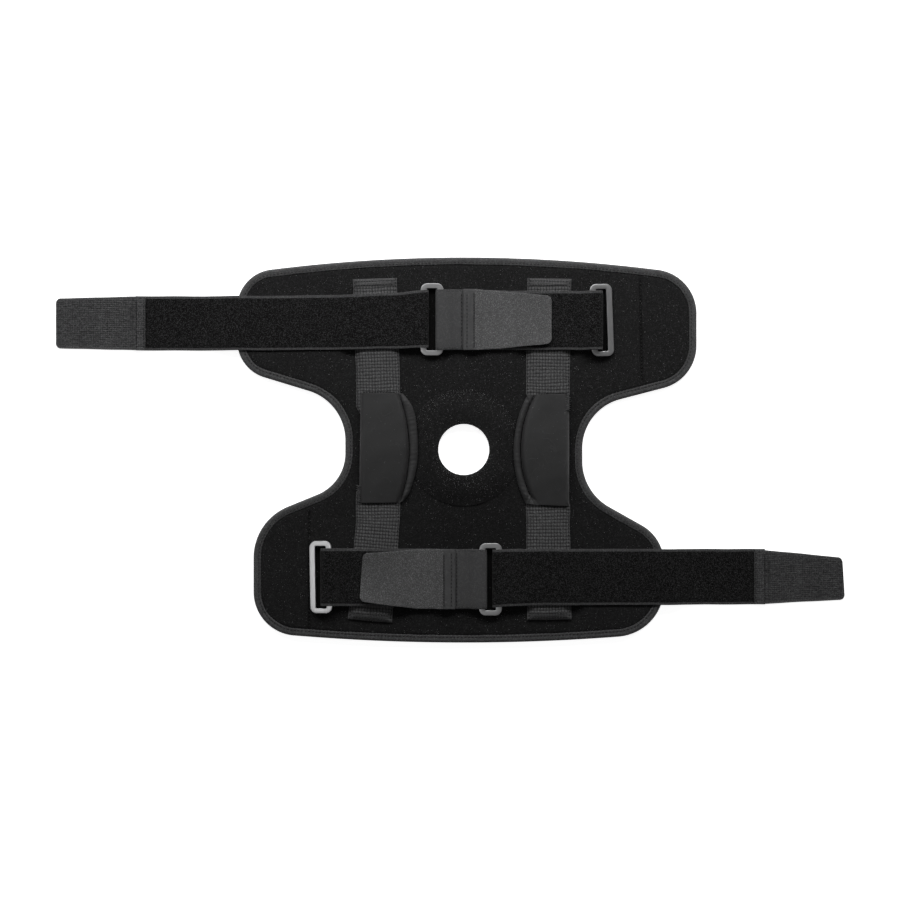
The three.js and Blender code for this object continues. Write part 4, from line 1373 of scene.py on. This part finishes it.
def cover_end_seams(side):
    """Lines of close dark stitches that hold a cover's two ends down on its sleeve; their dark line is also
    painted shade where each end meets the sleeve.
    """
    hinge = HINGES[side]
    share = np.linspace(0.06, 0.96, 40)[:, None]
    seams = []
    for end, outward in ((0, -0.5), (-1, 0.5)):
        outer, groove = np.array(hinge.outer[end]), np.array(hinge.groove[end])
        x, y = (outer + share * (groove - outer) + (0, outward)).T
        seams.append(np.column_stack([x, y, under_cover(side, x, y) + 0.15]))
    return seams


def bar_tack_mesh(side, size, cover):
    """A close zigzag of thread that holds the outer edge of a cover down near one of its corners."""
    tack = HINGES[side].tack
    random = np.random.default_rng(SEED + 9)
    feet = np.arange(tack.low, tack.high, TACK_PITCH)
    share = np.linspace(0, 1, 5)
    turn = np.where(np.arange(len(feet)) % 2, 1, -1)[:, None]
    half = tack.half * random.uniform(0.75, 1.15, (len(feet), 1))
    x = tack.x + turn * half * (2 * share - 1)
    y = feet[:, None] + TACK_PITCH * share + random.uniform(-0.25, 0.25, (len(feet), 1))
    gap = np.hypot(x[..., None] - cover.points[:, 0], y[..., None] - cover.points[:, 1])
    under = np.where(gap < 1, cover.points[:, 2], FACE + 0.3).max(axis=-1)
    centres = np.stack([x, y, under + 0.25 - 0.5 * (2 * share - 1) ** 4], axis=-1)
    return threads(centres, size.thread / 2 * np.array([0.6, 1, 1, 1, 0.6]))


# Tapes

class MidLine:
    """A tape's mid-line in the plane of its run u and its height z."""

    def __init__(self, u, z):
        self.points = [(u, z)]

    def line(self, u, z=None, step=2.0):
        """Straight to a point, at the same height if none is given."""
        start = self.points[-1]
        end = (u, start[1] if z is None else z)
        count = max(1, round(math.dist(start, end) / step))
        self.points += [tuple(point) for point in np.linspace(start, end, count + 1)[1:]]
        return self

    def bend(self, u, z, count=12):
        """An S-shaped bend to another height."""
        start = self.points[-1]
        share = np.linspace(0, 1, count + 1)[1:]
        handle = 3 * share * (1 - share) * (start[0] + u) / 2
        us = (1 - share) ** 3 * start[0] + handle + share ** 3 * u
        zs = start[1] + (z - start[1]) * smoothstep(share)
        self.points += list(zip(us, zs))
        return self

    def turn(self, u, z, radius, start, end, count=18):
        """Part of a circle about a point, between two angles in degrees."""
        angles = np.radians(np.linspace(start, end, count + 1)[1:])
        self.points += list(zip(u + radius * np.cos(angles), z + radius * np.sin(angles)))
        return self

    def round_tip(self, u, radius, count=8):
        """Straight to a tip, with points closer together where its corners turn in."""
        start_u, z = self.points[-1]
        side = 1 if u > start_u else -1
        self.line(u - side * radius)
        turns = np.linspace(0, math.pi / 2, count + 1)[1:]
        self.points += [(u - side * radius * (1 - math.sin(turn)), z) for turn in turns]
        return self


# A tape's section: distances in from each edge, with the height of its two faces there; then the middle.
Section = namedtuple(
    "Section", "distances upper lower edge_columns middle_columns middle_upper middle_lower",
)


def loop_strap_section(selvedge):
    """Loop pile standing over flat woven edges."""
    return Section(
        distances=np.array([0, 0.12, 0.5, selvedge * 0.65, selvedge, selvedge + 0.45, selvedge + 1.1]),
        upper=np.array([0.14, 0.34, 0.42, 0.42, 0.45, 0.62, 0.7]),
        lower=np.array([0.14, 0.36, 0.5, 0.55, 0.6, 0.65, 0.7]),
        edge_columns=4, middle_columns=18, middle_upper=0.7, middle_lower=0.7,
    )


def flat_section(middle_columns, upper=0.7):
    """Plain tape with rounded edges."""
    rounding = np.array([0.25, 0.62, 0.86, 0.96, 1.0])
    return Section(
        distances=np.array([0, 0.08, 0.22, 0.45, 0.9]), upper=upper * rounding, lower=0.7 * rounding,
        edge_columns=0, middle_columns=middle_columns, middle_upper=upper, middle_lower=0.7,
    )


def flipped(section):
    """A section with its faces exchanged, for a strap whose mid-line runs with the pile below."""
    return section._replace(upper=section.lower, lower=section.upper)


def edges_at(rows, u, tip):
    """y of a tape's two edges at each u, drawn in at the round corners of its tip."""
    us = [row.u for row in rows]
    low, high = np.interp(u, us, [row.low for row in rows]), np.interp(u, us, [row.high for row in rows])
    if tip is not None:
        tip_u, radius = tip
        short = np.clip(radius - np.abs(u - tip_u), 0, radius)
        inset = radius - np.sqrt(radius ** 2 - short ** 2)
        low, high = low + inset, high - inset
    return low, high


def face_kinds(columns, edge):
    """For each face round a tape 0 upper, 1 lower or 2 woven edge, with as many edge columns as given."""
    around = 2 * columns
    kind = np.zeros(around, int)
    kind[columns:] = 1
    kind[[columns - 1, -1]] = 2
    for first, stop in ((0, edge), (columns - 1 - edge, columns - 1)):
        kind[first:stop] = 2
        kind[around - 1 - stop:around - 1 - first] = 2
    return kind


def tape_mesh(along, midline, rows, section, tip=None, lean=0.0, curl=0.0, uneven=0.05,
              ribs=0.0, rib_pitch=1.9, worn=None):
    """A tape along its mid-line, the kind of each of its faces, and its length."""
    line = np.array(midline.points)
    tangent = unit(np.gradient(line, axis=0))
    normal = np.stack([-tangent[:, 1], tangent[:, 0]], axis=1)
    run = run_length(line)
    low, high = (edge[:, None] for edge in edges_at(rows, line[:, 0], tip))
    wavy = 0.16 * ripple(line[:, 0], line[:, 1] * 3, 38, SEED + 9)[:, None]
    reach = section.distances
    share = np.linspace(0, 1, section.middle_columns + 1)[None, 1:-1]
    middle = low + reach[-1] + (high - low - 2 * reach[-1]) * share
    y = np.hstack([low + reach, middle, high - reach[::-1]]) + wavy
    flat = np.ones(share.size)
    offset = np.clip(y - low - reach[-1], 0, None)
    grooved = ribs * (0.5 + 0.5 * np.cos(2 * math.pi * offset / rib_pitch)) * (offset > 0)
    upper = np.concatenate([section.upper, section.middle_upper * flat, section.upper[::-1]])
    lower = np.concatenate([section.lower, section.middle_lower * flat, section.lower[::-1]])
    bumpy = uneven * ripple(run[:, None], y, 9, SEED + 10)
    upper = upper[None] - grooved + np.minimum(bumpy, 0.5 * GAP)
    lower = np.broadcast_to(lower[None], y.shape)
    leaning, curled = np.zeros_like(y), np.zeros_like(y)
    if tip is not None:
        from_middle, to_tip = (y - (low + high) / 2) / (high - low), line[:, :1] - tip[0]
        leaning = lean * from_middle * smoothstep((to_tip + LEAN_REACH) / LEAN_REACH)
        curled = curl * (2 * from_middle) ** 2 * smoothstep((to_tip + CURL_REACH) / CURL_REACH)
    faces = []
    for height in (upper + curled, curled - lower):
        u = line[:, :1] + normal[:, :1] * height + leaning
        z = line[:, 1:] + normal[:, 1:] * height
        faces.append(np.stack([along * u, y, z], axis=-1))
    ring = np.concatenate([faces[0], faces[1][:, ::-1]], axis=1)
    count, around = ring.shape[:2]
    columns = y.shape[1]
    shell = grid(count, around, close_columns=True)
    side = np.arange(columns - 1)
    cap = np.stack([side, side + 1, around - 2 - side, around - 1 - side], axis=1)
    kind = face_kinds(columns, section.edge_columns)
    mask = np.zeros_like(y) if worn is None else worn(line[:, :1], y - low, high - y)
    cloth = np.stack([np.broadcast_to(run[:, None], y.shape), y - (low + high) / 2, mask], axis=-1)
    cloth = np.concatenate([cloth, cloth[:, ::-1]], axis=1)
    mesh = Mesh(ring.reshape(-1, 3), [shell, cap, cap[:, ::-1] + (count - 1) * around], cloth.reshape(-1, 3))
    ends = np.full(len(cap), 2)
    return mesh, [np.tile(kind, count - 1), ends, ends], run[-1]


def strap_places(strap):
    """The u of the two folds round the inner ring, of that ring's far edge and of the end ring's pivot."""
    low, high = node_box(f"{strap.name}_inner_ring")
    ring_u = strap.along * (low[0] + high[0]) / 2
    near = ring_u - RING_WIDTH / 2 + RING_LONG_BAR - RING_THICKNESS / 2
    far = ring_u + RING_WIDTH / 2 - RING_LONG_BAR + RING_THICKNESS / 2
    pivot = strap.along * joint_place(f"{strap.name}_ring_swing")[0]
    return near, far, ring_u + RING_WIDTH / 2, pivot


def long_strap_line(strap):
    """Along the floor, up the panel's edge and a sleeve, and round the inner ring's near bar."""
    sleeve_from, sleeve_to = sleeve_span(strap.long_sleeve, strap.along, strap.long)
    near, _, _, _ = strap_places(strap)
    binding_end = strap.panel_edge + BINDING_WIDTH
    line = MidLine(strap.strap_start, ON_FLOOR)
    line.line(strap.panel_edge - PAST_EDGE - FLOOR_BEND).bend(strap.panel_edge - PAST_EDGE, ON_BINDING, 18)
    line.line(binding_end + PAST_EDGE).bend(binding_end + PAST_EDGE + BINDING_BEND, ON_PANEL, 6)
    line.line(sleeve_from - PAST_EDGE - SLEEVE_BEND).bend(sleeve_from - PAST_EDGE, ON_SLEEVE)
    line.line(sleeve_to + PAST_EDGE).bend(sleeve_to + PAST_EDGE + RING_BEND, OVER_RING)
    fold = near + strap.slack
    line.line(fold).turn(fold, INNER_RING_Z, FOLD_RADIUS, 90, -90)
    return line.line(sleeve_to + RETURN_GAP)


def short_strap_line(strap):
    """From under itself, round an open eye for the end ring, over a sleeve and round the inner ring."""
    sleeve_from, sleeve_to = sleeve_span(strap.short_sleeve, strap.along, strap.short)
    _, far, ring_edge, pivot = strap_places(strap)
    eye = strap.end_fold - EYE_RADIUS - HALF_STRAP
    line = MidLine(pivot - RETURN_FROM_PIVOT, ON_PANEL)
    line.line(eye).turn(eye, PIVOT_Z, EYE_RADIUS, -90, 90, 26)
    line.line(pivot - PAST_EDGE, OVER_EYE).bend(pivot - STITCH_FROM_PIVOT, ON_PANEL + LAYER)
    line.bend(sleeve_to + PAST_EDGE, ON_SLEEVE).line(sleeve_from - PAST_EDGE)
    line.bend(sleeve_from - PAST_EDGE - SLEEVE_BEND, ON_PANEL).line(far)
    line.turn(far, INNER_RING_Z, FOLD_RADIUS, 270, 90).line(ring_edge + PAST_EDGE)
    line.bend(ring_edge + PAST_EDGE + FOLD_BEND, ON_PANEL + LAYER)
    return line.line(strap.seam_to + SEAM_MARGIN)


def tab_line(strap):
    """Sewn on the short strap's end, then lying on the strap and over the sleeve."""
    sleeve_from, _ = sleeve_span(strap.short_sleeve, strap.along, strap.short)
    line = MidLine(strap.seam_from - TAB_MARGIN, ON_PANEL + 2 * LAYER)
    line.line(strap.seam_to + TAB_MARGIN, step=1.0)
    line.bend(strap.seam_to + TAB_MARGIN + TAB_BEND, ON_PANEL + LAYER)
    line.line(sleeve_from - PAST_EDGE - SLEEVE_BEND).bend(sleeve_from - PAST_EDGE, ON_SLEEVE + LAYER)
    return line.round_tip(strap.tab_end, TAB_CORNER)


def tail_line(strap):
    """From the strap's end down to the floor and out to the tail's tip."""
    line = MidLine(strap.tail_stop, ON_FLOOR + LAYER)
    line.line(strap.strap_start - PAST_EDGE).bend(strap.strap_start - PAST_EDGE - TAIL_BEND, ON_FLOOR)
    return line.round_tip(strap.tail[0].u, TAIL_CORNER)


def mirrored(midline):
    """A mid-line that runs the other way, so that a tape can be made from its root to its tip."""
    turned = MidLine(0, 0)
    turned.points = [(-u, z) for u, z in midline.points]
    return turned


def mirrored_rows(rows):
    """A tape's edge rows for a mid-line that runs the other way."""
    return [EdgeRow(-row.u, row.low, row.high) for row in reversed(rows)]


def seam_across(strap, rows, u, z):
    """Line of stitches across a tape."""
    margin, count = 2.6, 60
    low, high = edges_at(rows, np.array([u]), None)
    ys = np.linspace(low[0] + margin, high[0] - margin, count)
    return np.column_stack([np.full(count, strap.along * u), ys, np.full(count, z)])


def tail_hook_mesh(strap, size):
    """Rows of small hooks standing on a tail's upper face, each bent over towards the strap."""
    tip = strap.tail[0].u
    us = np.arange(tip + 2.6, strap.strap_start - PAST_EDGE - TAIL_BEND, size.hook_pitch * 0.8)
    low, high = edges_at(strap.tail, us, None)
    columns = np.arange(0.5, 30)
    ys = low[:, None] + 2.2 + (columns + 0.25 * (np.arange(len(us)) % 2)[:, None]) * size.hook_pitch
    u = np.broadcast_to(us[:, None], ys.shape)
    keep = ys < high[:, None] - 2.0
    roots = np.stack([strap.along * u[keep], ys[keep], np.full(keep.sum(), ON_FLOOR + 0.22)], axis=1)
    lean = np.array([0, 0.05, 0.35, 0.75, 0.85]) * size.hook_height
    rise = np.array([0, 0.6, 1.0, 0.95, 0.55]) * size.hook_height
    hook = np.stack([strap.along * lean, np.zeros(5), rise], axis=1)
    across = np.tile([0.0, 1.0, 0.0], (len(roots), 1))
    return tubes(roots[:, None, :] + hook[None], across, np.array([0.19, 0.16, 0.14, 0.13, 0.1]), 4)


# Metal rings

def rounded_slot(width, height, radius):
    """Outline of a rectangle with round corners, with as many points whatever its size."""
    x, y = width / 2 - radius, height / 2 - radius
    corners = []
    for i, (cx, cy) in enumerate(((x, y), (-x, y), (-x, -y), (x, -y))):
        angles = np.linspace(i, i + 1, 12) * math.pi / 2
        corners.append((cx, cy) + radius * on_circle(angles))
    outline = []
    for corner, after in zip(corners, corners[1:] + corners[:1]):
        outline += [corner, np.linspace(corner[-1], after[0], 7)[1:-1]]
    return np.vstack(outline)


def ring_frame(node):
    """A flat ring's middle and its own axes, width, height and thickness, from its CAD mesh."""
    points = np.array([vertex.co for vertex in frame["nodes"][node].data.vertices])
    points = (points - HOLE) / MM
    _, _, axes = np.linalg.svd(points - points.mean(0), full_matrices=False)
    height, width, thick = axes
    height = height * np.sign(height[1])
    width = width * np.sign(width[0])
    thick = np.cross(width, height)
    axes = np.stack([width, height, thick])
    spans = points @ axes.T
    low, high = spans.min(0), spans.max(0)
    return (low + high) / 2 @ axes, axes, high - low


def ring_mesh(node, size):
    """A flat ring with a rectangular slot and rounded edges, where its CAD node lies."""
    middle, axes, (width, height, thickness) = ring_frame(node)
    bevel, turns = size.ring_bevel, np.linspace(0, math.pi / 2, 6)
    up, down = np.concatenate([-turns[::-1], turns]), np.concatenate([turns[::-1], -turns])
    outside = (width, height, RING_CORNER, -bevel, up)
    slot = (width - 2 * RING_LONG_BAR, height - 2 * RING_SHORT_BAR, RING_SLOT_CORNER, bevel, down)
    loops = []
    for wide, tall, corner, growth, over_edge in (outside, slot):
        for turn in over_edge:
            grown = growth * (1 - math.cos(turn))
            z = math.copysign(thickness / 2 - bevel, turn) + bevel * math.sin(turn)
            outline = rounded_slot(wide + 2 * grown, tall + 2 * grown, corner + grown)
            loops.append((outline, z, 1 - abs(math.sin(turn))))
    local = np.array([np.column_stack([outline, np.full(len(outline), z)]) for outline, z, _ in loops])
    edge = np.array([np.full(len(outline), worn) for outline, _, worn in loops])
    return ring_body(local @ axes + middle, np.concatenate([local[..., :2], edge[..., None]], axis=-1))


# Operators

class AddPanel(bpy.types.Operator):
    """Builds the padded panel, its wing seams and the loose loops and lint on its plush"""

    bl_idname = "knee_brace.add_panel"
    bl_label = "Padded panel"

    def execute(self, context):
        size = sizes()
        random = np.random.default_rng(SEED)
        mesh, face = panel_mesh(size)
        panel = make_piece("padded_panel", mesh, plush_pile)
        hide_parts("wrap_panel")
        seams = [wing_seam_line(seam, size) for seam in WING_SEAMS]
        thread = make_piece("wing_seam_thread", stitches(seams, size), sewing_thread)
        roots = scattered(face, size.pile_loops, random)
        loops = strands(roots, random, reach=1.3, height=0.4, thickness=0.14)
        make_piece("panel_pile_loops", loops, loose_loops)
        roots = scattered(face, size.lint, random)
        specks = strands(roots, random, reach=0.75, height=0.3, thickness=0.15)
        make_piece("panel_lint", specks, pale_fibre)
        return {"FINISHED"}


class AddBinding(bpy.types.Operator):
    """Builds the woven tape round the panel's edge and its stitching"""

    bl_idname = "knee_brace.add_binding"
    bl_label = "Edge binding"

    def execute(self, context):
        size = sizes()
        mesh, tape_width, round_it = binding_mesh(size)
        tape = make_piece("binding_tape", mesh, binding_tape)
        thread = make_piece("binding_thread", stitches([binding_seam()], size), sewing_thread)
        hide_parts("edge_binding")
        return {"FINISHED"}


class AddRingPad(bpy.types.Operator):
    """Builds the raised ring round the knee-cap hole"""

    bl_idname = "knee_brace.add_ring_pad"
    bl_label = "Ring pad"

    def execute(self, context):
        size = sizes()
        random = np.random.default_rng(SEED + 1)
        mesh, face, lit = ring_pad_mesh()
        pad = make_piece("ring_pad", mesh, plush_pile)
        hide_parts("patella_ring")
        roots = face[random.choice(len(face), size.pile_loops // 12)]
        loops = strands(roots, random, reach=1.3, height=0.4, thickness=0.14)
        make_piece("ring_pad_pile_loops", loops, loose_loops)
        # These pale specks are lint and also painted highlights on the slopes that face the light.
        roots = face[random.choice(len(face), size.lint // 4, p=lit)]
        specks = strands(roots, random, reach=0.7, height=0.3, thickness=0.14)
        make_piece("ring_pad_lint", specks, pale_fibre)
        return {"FINISHED"}


class AddSleeves(bpy.types.Operator):
    """Builds the two woven stay sleeves and their stitching"""

    bl_idname = "knee_brace.add_sleeves"
    bl_label = "Stay sleeves"

    def execute(self, context):
        size = sizes()
        for side in SLEEVE_LINES:
            mesh, tall = sleeve_mesh(side, size)
            sleeve = make_piece(f"{side}_sleeve_webbing", mesh, waffle_webbing)
            sides, ends = sleeve_seams(side)
            seams = joined([stitches(sides, size), stitches(ends, size, gap=size.close_gap)])
            thread = make_piece(f"{side}_sleeve_thread", seams, sewing_thread)
            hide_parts(f"hinge_sleeve_{side}")
        return {"FINISHED"}


class AddHingeCovers(bpy.types.Operator):
    """Builds the padded covers over the hinges, their rims, end seams and bar tacks"""

    bl_idname = "knee_brace.add_hinge_covers"
    bl_label = "Hinge covers"

    def execute(self, context):
        size = sizes()
        for side in HINGES:
            pad = cover_mesh(side, size)
            cover = make_piece(f"{side}_cover_pad", pad, cover_knit)
            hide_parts(f"hinge_cover_{side}")
            rim = make_piece(f"{side}_cover_rim", rim_mesh(side), cover_knit)
            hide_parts(f"hinge_rim_{side}")
            zigzag = bar_tack_mesh(side, size, pad)
            tack = make_piece(f"{side}_bar_tack", zigzag, tack_thread)
            seams = stitches(cover_end_seams(side), size, gap=size.close_gap)
            thread = make_piece(f"{side}_cover_thread", seams, sewing_thread)
        return {"FINISHED"}


class AddLongStraps(bpy.types.Operator):
    """Builds the long straps from their tails to the inner rings"""

    bl_idname = "knee_brace.add_long_straps"
    bl_label = "Long straps"

    def execute(self, context):
        size = sizes()
        section = loop_strap_section(size.strap_selvedge)
        finishes = (strap_loops, strap_back, strap_selvedge)
        for strap in STRAPS:
            mesh, kinds, run = tape_mesh(strap.along, long_strap_line(strap), strap.long, section)
            piece = make_piece(f"{strap.name}_long_strap_tape", mesh, *finishes, kinds=kinds)
            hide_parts(f"{strap.name}_long_strap")
        return {"FINISHED"}


class AddHookTails(bpy.types.Operator):
    """Builds the ribbed hook tails, their hooks and the seams that join them to the straps"""

    bl_idname = "knee_brace.add_hook_tails"
    bl_label = "Hook tails"

    def execute(self, context):
        size = sizes()
        for strap in STRAPS:
            mesh, kinds, run = tape_mesh(
                -strap.along, mirrored(tail_line(strap)), mirrored_rows(strap.tail),
                flat_section(92, upper=0.34), tip=(-strap.tail[0].u, TAIL_CORNER), lean=strap.tail_lean,
                uneven=0.02, ribs=0.16, rib_pitch=size.hook_pitch,
                # The tails' edges are painted paler: a painted highlight along them.
                worn=lambda u, low, high: np.exp(-np.minimum(low, high) / 1.1),
            )
            tail = make_piece(f"{strap.name}_tail_tape", mesh, *[tail_tape] * 3, kinds=kinds)
            hooks = make_piece(f"{strap.name}_tail_hooks", tail_hook_mesh(strap, size), tail_hooks)
            top = ON_FLOOR + LAYER + 0.3
            seam_us = (strap.strap_start + 0.4, strap.tail_stop - 1.6)
            seams = [seam_across(strap, strap.tail, u, top) for u in seam_us]
            close = stitches(seams[:1], size, lift=0.3, gap=size.close_gap)
            seams = joined([close, stitches(seams[1:], size)])
            thread = make_piece(f"{strap.name}_tail_thread", seams, sewing_thread)
            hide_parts(f"{strap.name}_hook_tail")
        return {"FINISHED"}


class AddShortStraps(bpy.types.Operator):
    """Builds the short straps with their eyes, folds and seams"""

    bl_idname = "knee_brace.add_short_straps"
    bl_label = "Short straps"

    def execute(self, context):
        size = sizes()
        section = flipped(loop_strap_section(size.strap_selvedge))
        finishes = (strap_back, strap_loops, strap_selvedge)
        for strap in STRAPS:
            line = short_strap_line(strap)
            mesh, kinds, run = tape_mesh(strap.along, line, strap.short, section, uneven=0.02)
            piece = make_piece(f"{strap.name}_short_strap_tape", mesh, *finishes, kinds=kinds)
            fold_top = ON_PANEL + LAYER + HALF_STRAP
            seam = seam_across(strap, strap.short, strap.seam_from - 2.8, fold_top)
            thread = make_piece(f"{strap.name}_fold_thread", stitches([seam], size), sewing_thread)
            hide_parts(f"{strap.name}_short_strap")
        return {"FINISHED"}


class AddPullTabs(bpy.types.Operator):
    """Builds the tapered pull tabs and the seams that hold them"""

    bl_idname = "knee_brace.add_pull_tabs"
    bl_label = "Pull tabs"

    def execute(self, context):
        size = sizes()
        for strap in STRAPS:
            sewn_to = strap.seam_to + TAB_MARGIN
            mesh, kinds, run = tape_mesh(
                strap.along, tab_line(strap), strap.tab, flat_section(24), tip=(strap.tab_end, TAB_CORNER),
                lean=strap.tab_lean, curl=strap.tab_curl,
                worn=lambda u, low, high: np.broadcast_to(1.2 * smoothstep((sewn_to - u) / 1.5), low.shape),
            )
            tab = make_piece(f"{strap.name}_tab_tape", mesh, *[tab_face] * 3, kinds=kinds)
            top = ON_PANEL + 2 * LAYER + HALF_STRAP
            seam_us = (strap.seam_from + 2.1, strap.seam_to + 0.2)
            seams = [seam_across(strap, strap.tab, u, top) for u in seam_us]
            close = stitches(seams[1:], size, lift=0.3, gap=size.close_gap)
            seams = joined([stitches(seams[:1], size), close])
            thread = make_piece(f"{strap.name}_tab_thread", seams, sewing_thread)
            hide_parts(f"{strap.name}_pull_tab")
        return {"FINISHED"}


class AddRings(bpy.types.Operator):
    """Builds the flat metal rings: two held between the straps and two that swing on the straps' ends"""

    bl_idname = "knee_brace.add_rings"
    bl_label = "Metal rings"

    def execute(self, context):
        size = sizes()
        for strap in STRAPS:
            for place, body in (("inner", BRACE), ("end", f"{strap.name}_ring")):
                node = f"{strap.name}_{place}_ring"
                ring = make_piece(f"{node}_plate", ring_mesh(node, size), satin_plate, body=body)
                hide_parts(node)
        return {"FINISHED"}


def area_light(name, place, target, width, depth, watts):
    """A softbox that faces a point and isn't seen itself."""
    data = bpy.data.lights.new(name, "AREA")
    data.shape = "RECTANGLE"
    data.size, data.size_y = width, depth
    data.energy = watts
    lamp = bpy.data.objects.new(name, data)
    lamp.location = place
    lamp.rotation_euler = (Vector(target) - Vector(place)).to_track_quat("-Z", "Y").to_euler()
    lamp.visible_camera = False
    bpy.context.scene.collection.objects.link(lamp)
    return lamp


class SetStage(bpy.types.Operator):
    """Lays the pale floor, hangs the soft lights and sets the camera straight above"""

    bl_idname = "knee_brace.set_stage"
    bl_label = "Stage"

    def execute(self, context):
        scene = context.scene
        data = bpy.data.meshes.new("floor")
        signs = ((-1, -1), (1, -1), (1, 1), (-1, 1))
        corners = [(x * FLOOR_HALF, y * FLOOR_HALF, -FLOOR_DROP) for x, y in signs]
        data.from_pydata(corners, [], [(0, 1, 2, 3)])
        data.materials.append(finish(floor_paper))
        floor = bpy.data.objects.new("floor", data)
        scene.collection.objects.link(floor)
        area_light(
            "key softbox", place=(0, 0.78, 0.50), target=(0, 0, 0), width=1.8, depth=0.25, watts=15.0,
        )
        strip = area_light(
            "left strip", place=(-0.80, -0.12, 1.55), target=(-0.12, -0.12, 0.0), width=0.45, depth=0.9,
            watts=4.3,
        )
        strip.visible_diffuse = False
        world = bpy.data.worlds.new("studio")
        world.use_nodes = True
        white = (1, 1, 1, 1)
        tree = world.node_tree
        ambient = tree.nodes["Background"]
        ambient.inputs["Color"].default_value = white
        ambient.inputs["Strength"].default_value = 0.13
        seen = add(tree, "ShaderNodeBackground", {"Color": white, "Strength": 1.0}).outputs[0]
        by_camera = add(tree, "ShaderNodeLightPath").outputs["Is Camera Ray"]
        sockets = {0: by_camera, 1: ambient.outputs[0], 2: seen}
        sky = add(tree, "ShaderNodeMixShader", sockets).outputs[0]
        tree.links.new(sky, tree.nodes["World Output"].inputs["Surface"])
        scene.world = world
        scene.view_settings.view_transform = "Standard"
        camera = bpy.data.cameras.new("camera")
        camera.sensor_width = 36
        camera.lens = camera.sensor_width * CAMERA_HEIGHT / PHOTO_WIDTH
        view = bpy.data.objects.new("camera", camera)
        view.location = (0, 0, CAMERA_HEIGHT + PANEL_TOP * MM)
        scene.collection.objects.link(view)
        scene.camera = view
        return {"FINISHED"}


BUILDERS = (
    SetStage, AddPanel, AddBinding, AddRingPad, AddSleeves, AddHingeCovers, AddLongStraps, AddHookTails,
    AddShortStraps, AddPullTabs, AddRings,
)


class KneeBraceSidebar(bpy.types.Panel):
    """Lists the pieces in the order in which they are built"""

    bl_idname = "VIEW3D_PT_knee_brace"
    bl_label = "Knee brace"
    bl_space_type = "VIEW_3D"
    bl_region_type = "UI"
    bl_category = "Knee brace"

    def draw(self, context):
        for builder in BUILDERS:
            self.layout.operator(builder.bl_idname)
        for group in (context.scene.knee_brace_sizes, context.scene.knee_brace_colours):
            box = self.layout.box()
            for name in type(group).__annotations__:
                box.prop(group, name)


CLASSES = (KneeBraceSizes, KneeBraceColours, *BUILDERS, KneeBraceSidebar)


def register():
    """Registers the classes and hangs both property groups on the scene."""
    for cls in CLASSES:
        bpy.utils.register_class(cls)
    bpy.types.Scene.knee_brace_sizes = PointerProperty(type=KneeBraceSizes)
    bpy.types.Scene.knee_brace_colours = PointerProperty(type=KneeBraceColours)


def unregister():
    """Takes back what register does."""
    del bpy.types.Scene.knee_brace_colours
    del bpy.types.Scene.knee_brace_sizes
    for cls in reversed(CLASSES):
        bpy.utils.unregister_class(cls)


def main():
    """Builds every piece."""
    register()
    bpy.ops.knee_brace.set_stage()
    bpy.ops.knee_brace.add_panel()
    bpy.ops.knee_brace.add_binding()
    bpy.ops.knee_brace.add_ring_pad()
    bpy.ops.knee_brace.add_sleeves()
    bpy.ops.knee_brace.add_hinge_covers()
    bpy.ops.knee_brace.add_long_straps()
    bpy.ops.knee_brace.add_hook_tails()
    bpy.ops.knee_brace.add_short_straps()
    bpy.ops.knee_brace.add_pull_tabs()
    bpy.ops.knee_brace.add_rings()


if __name__ == "__main__":
    main()
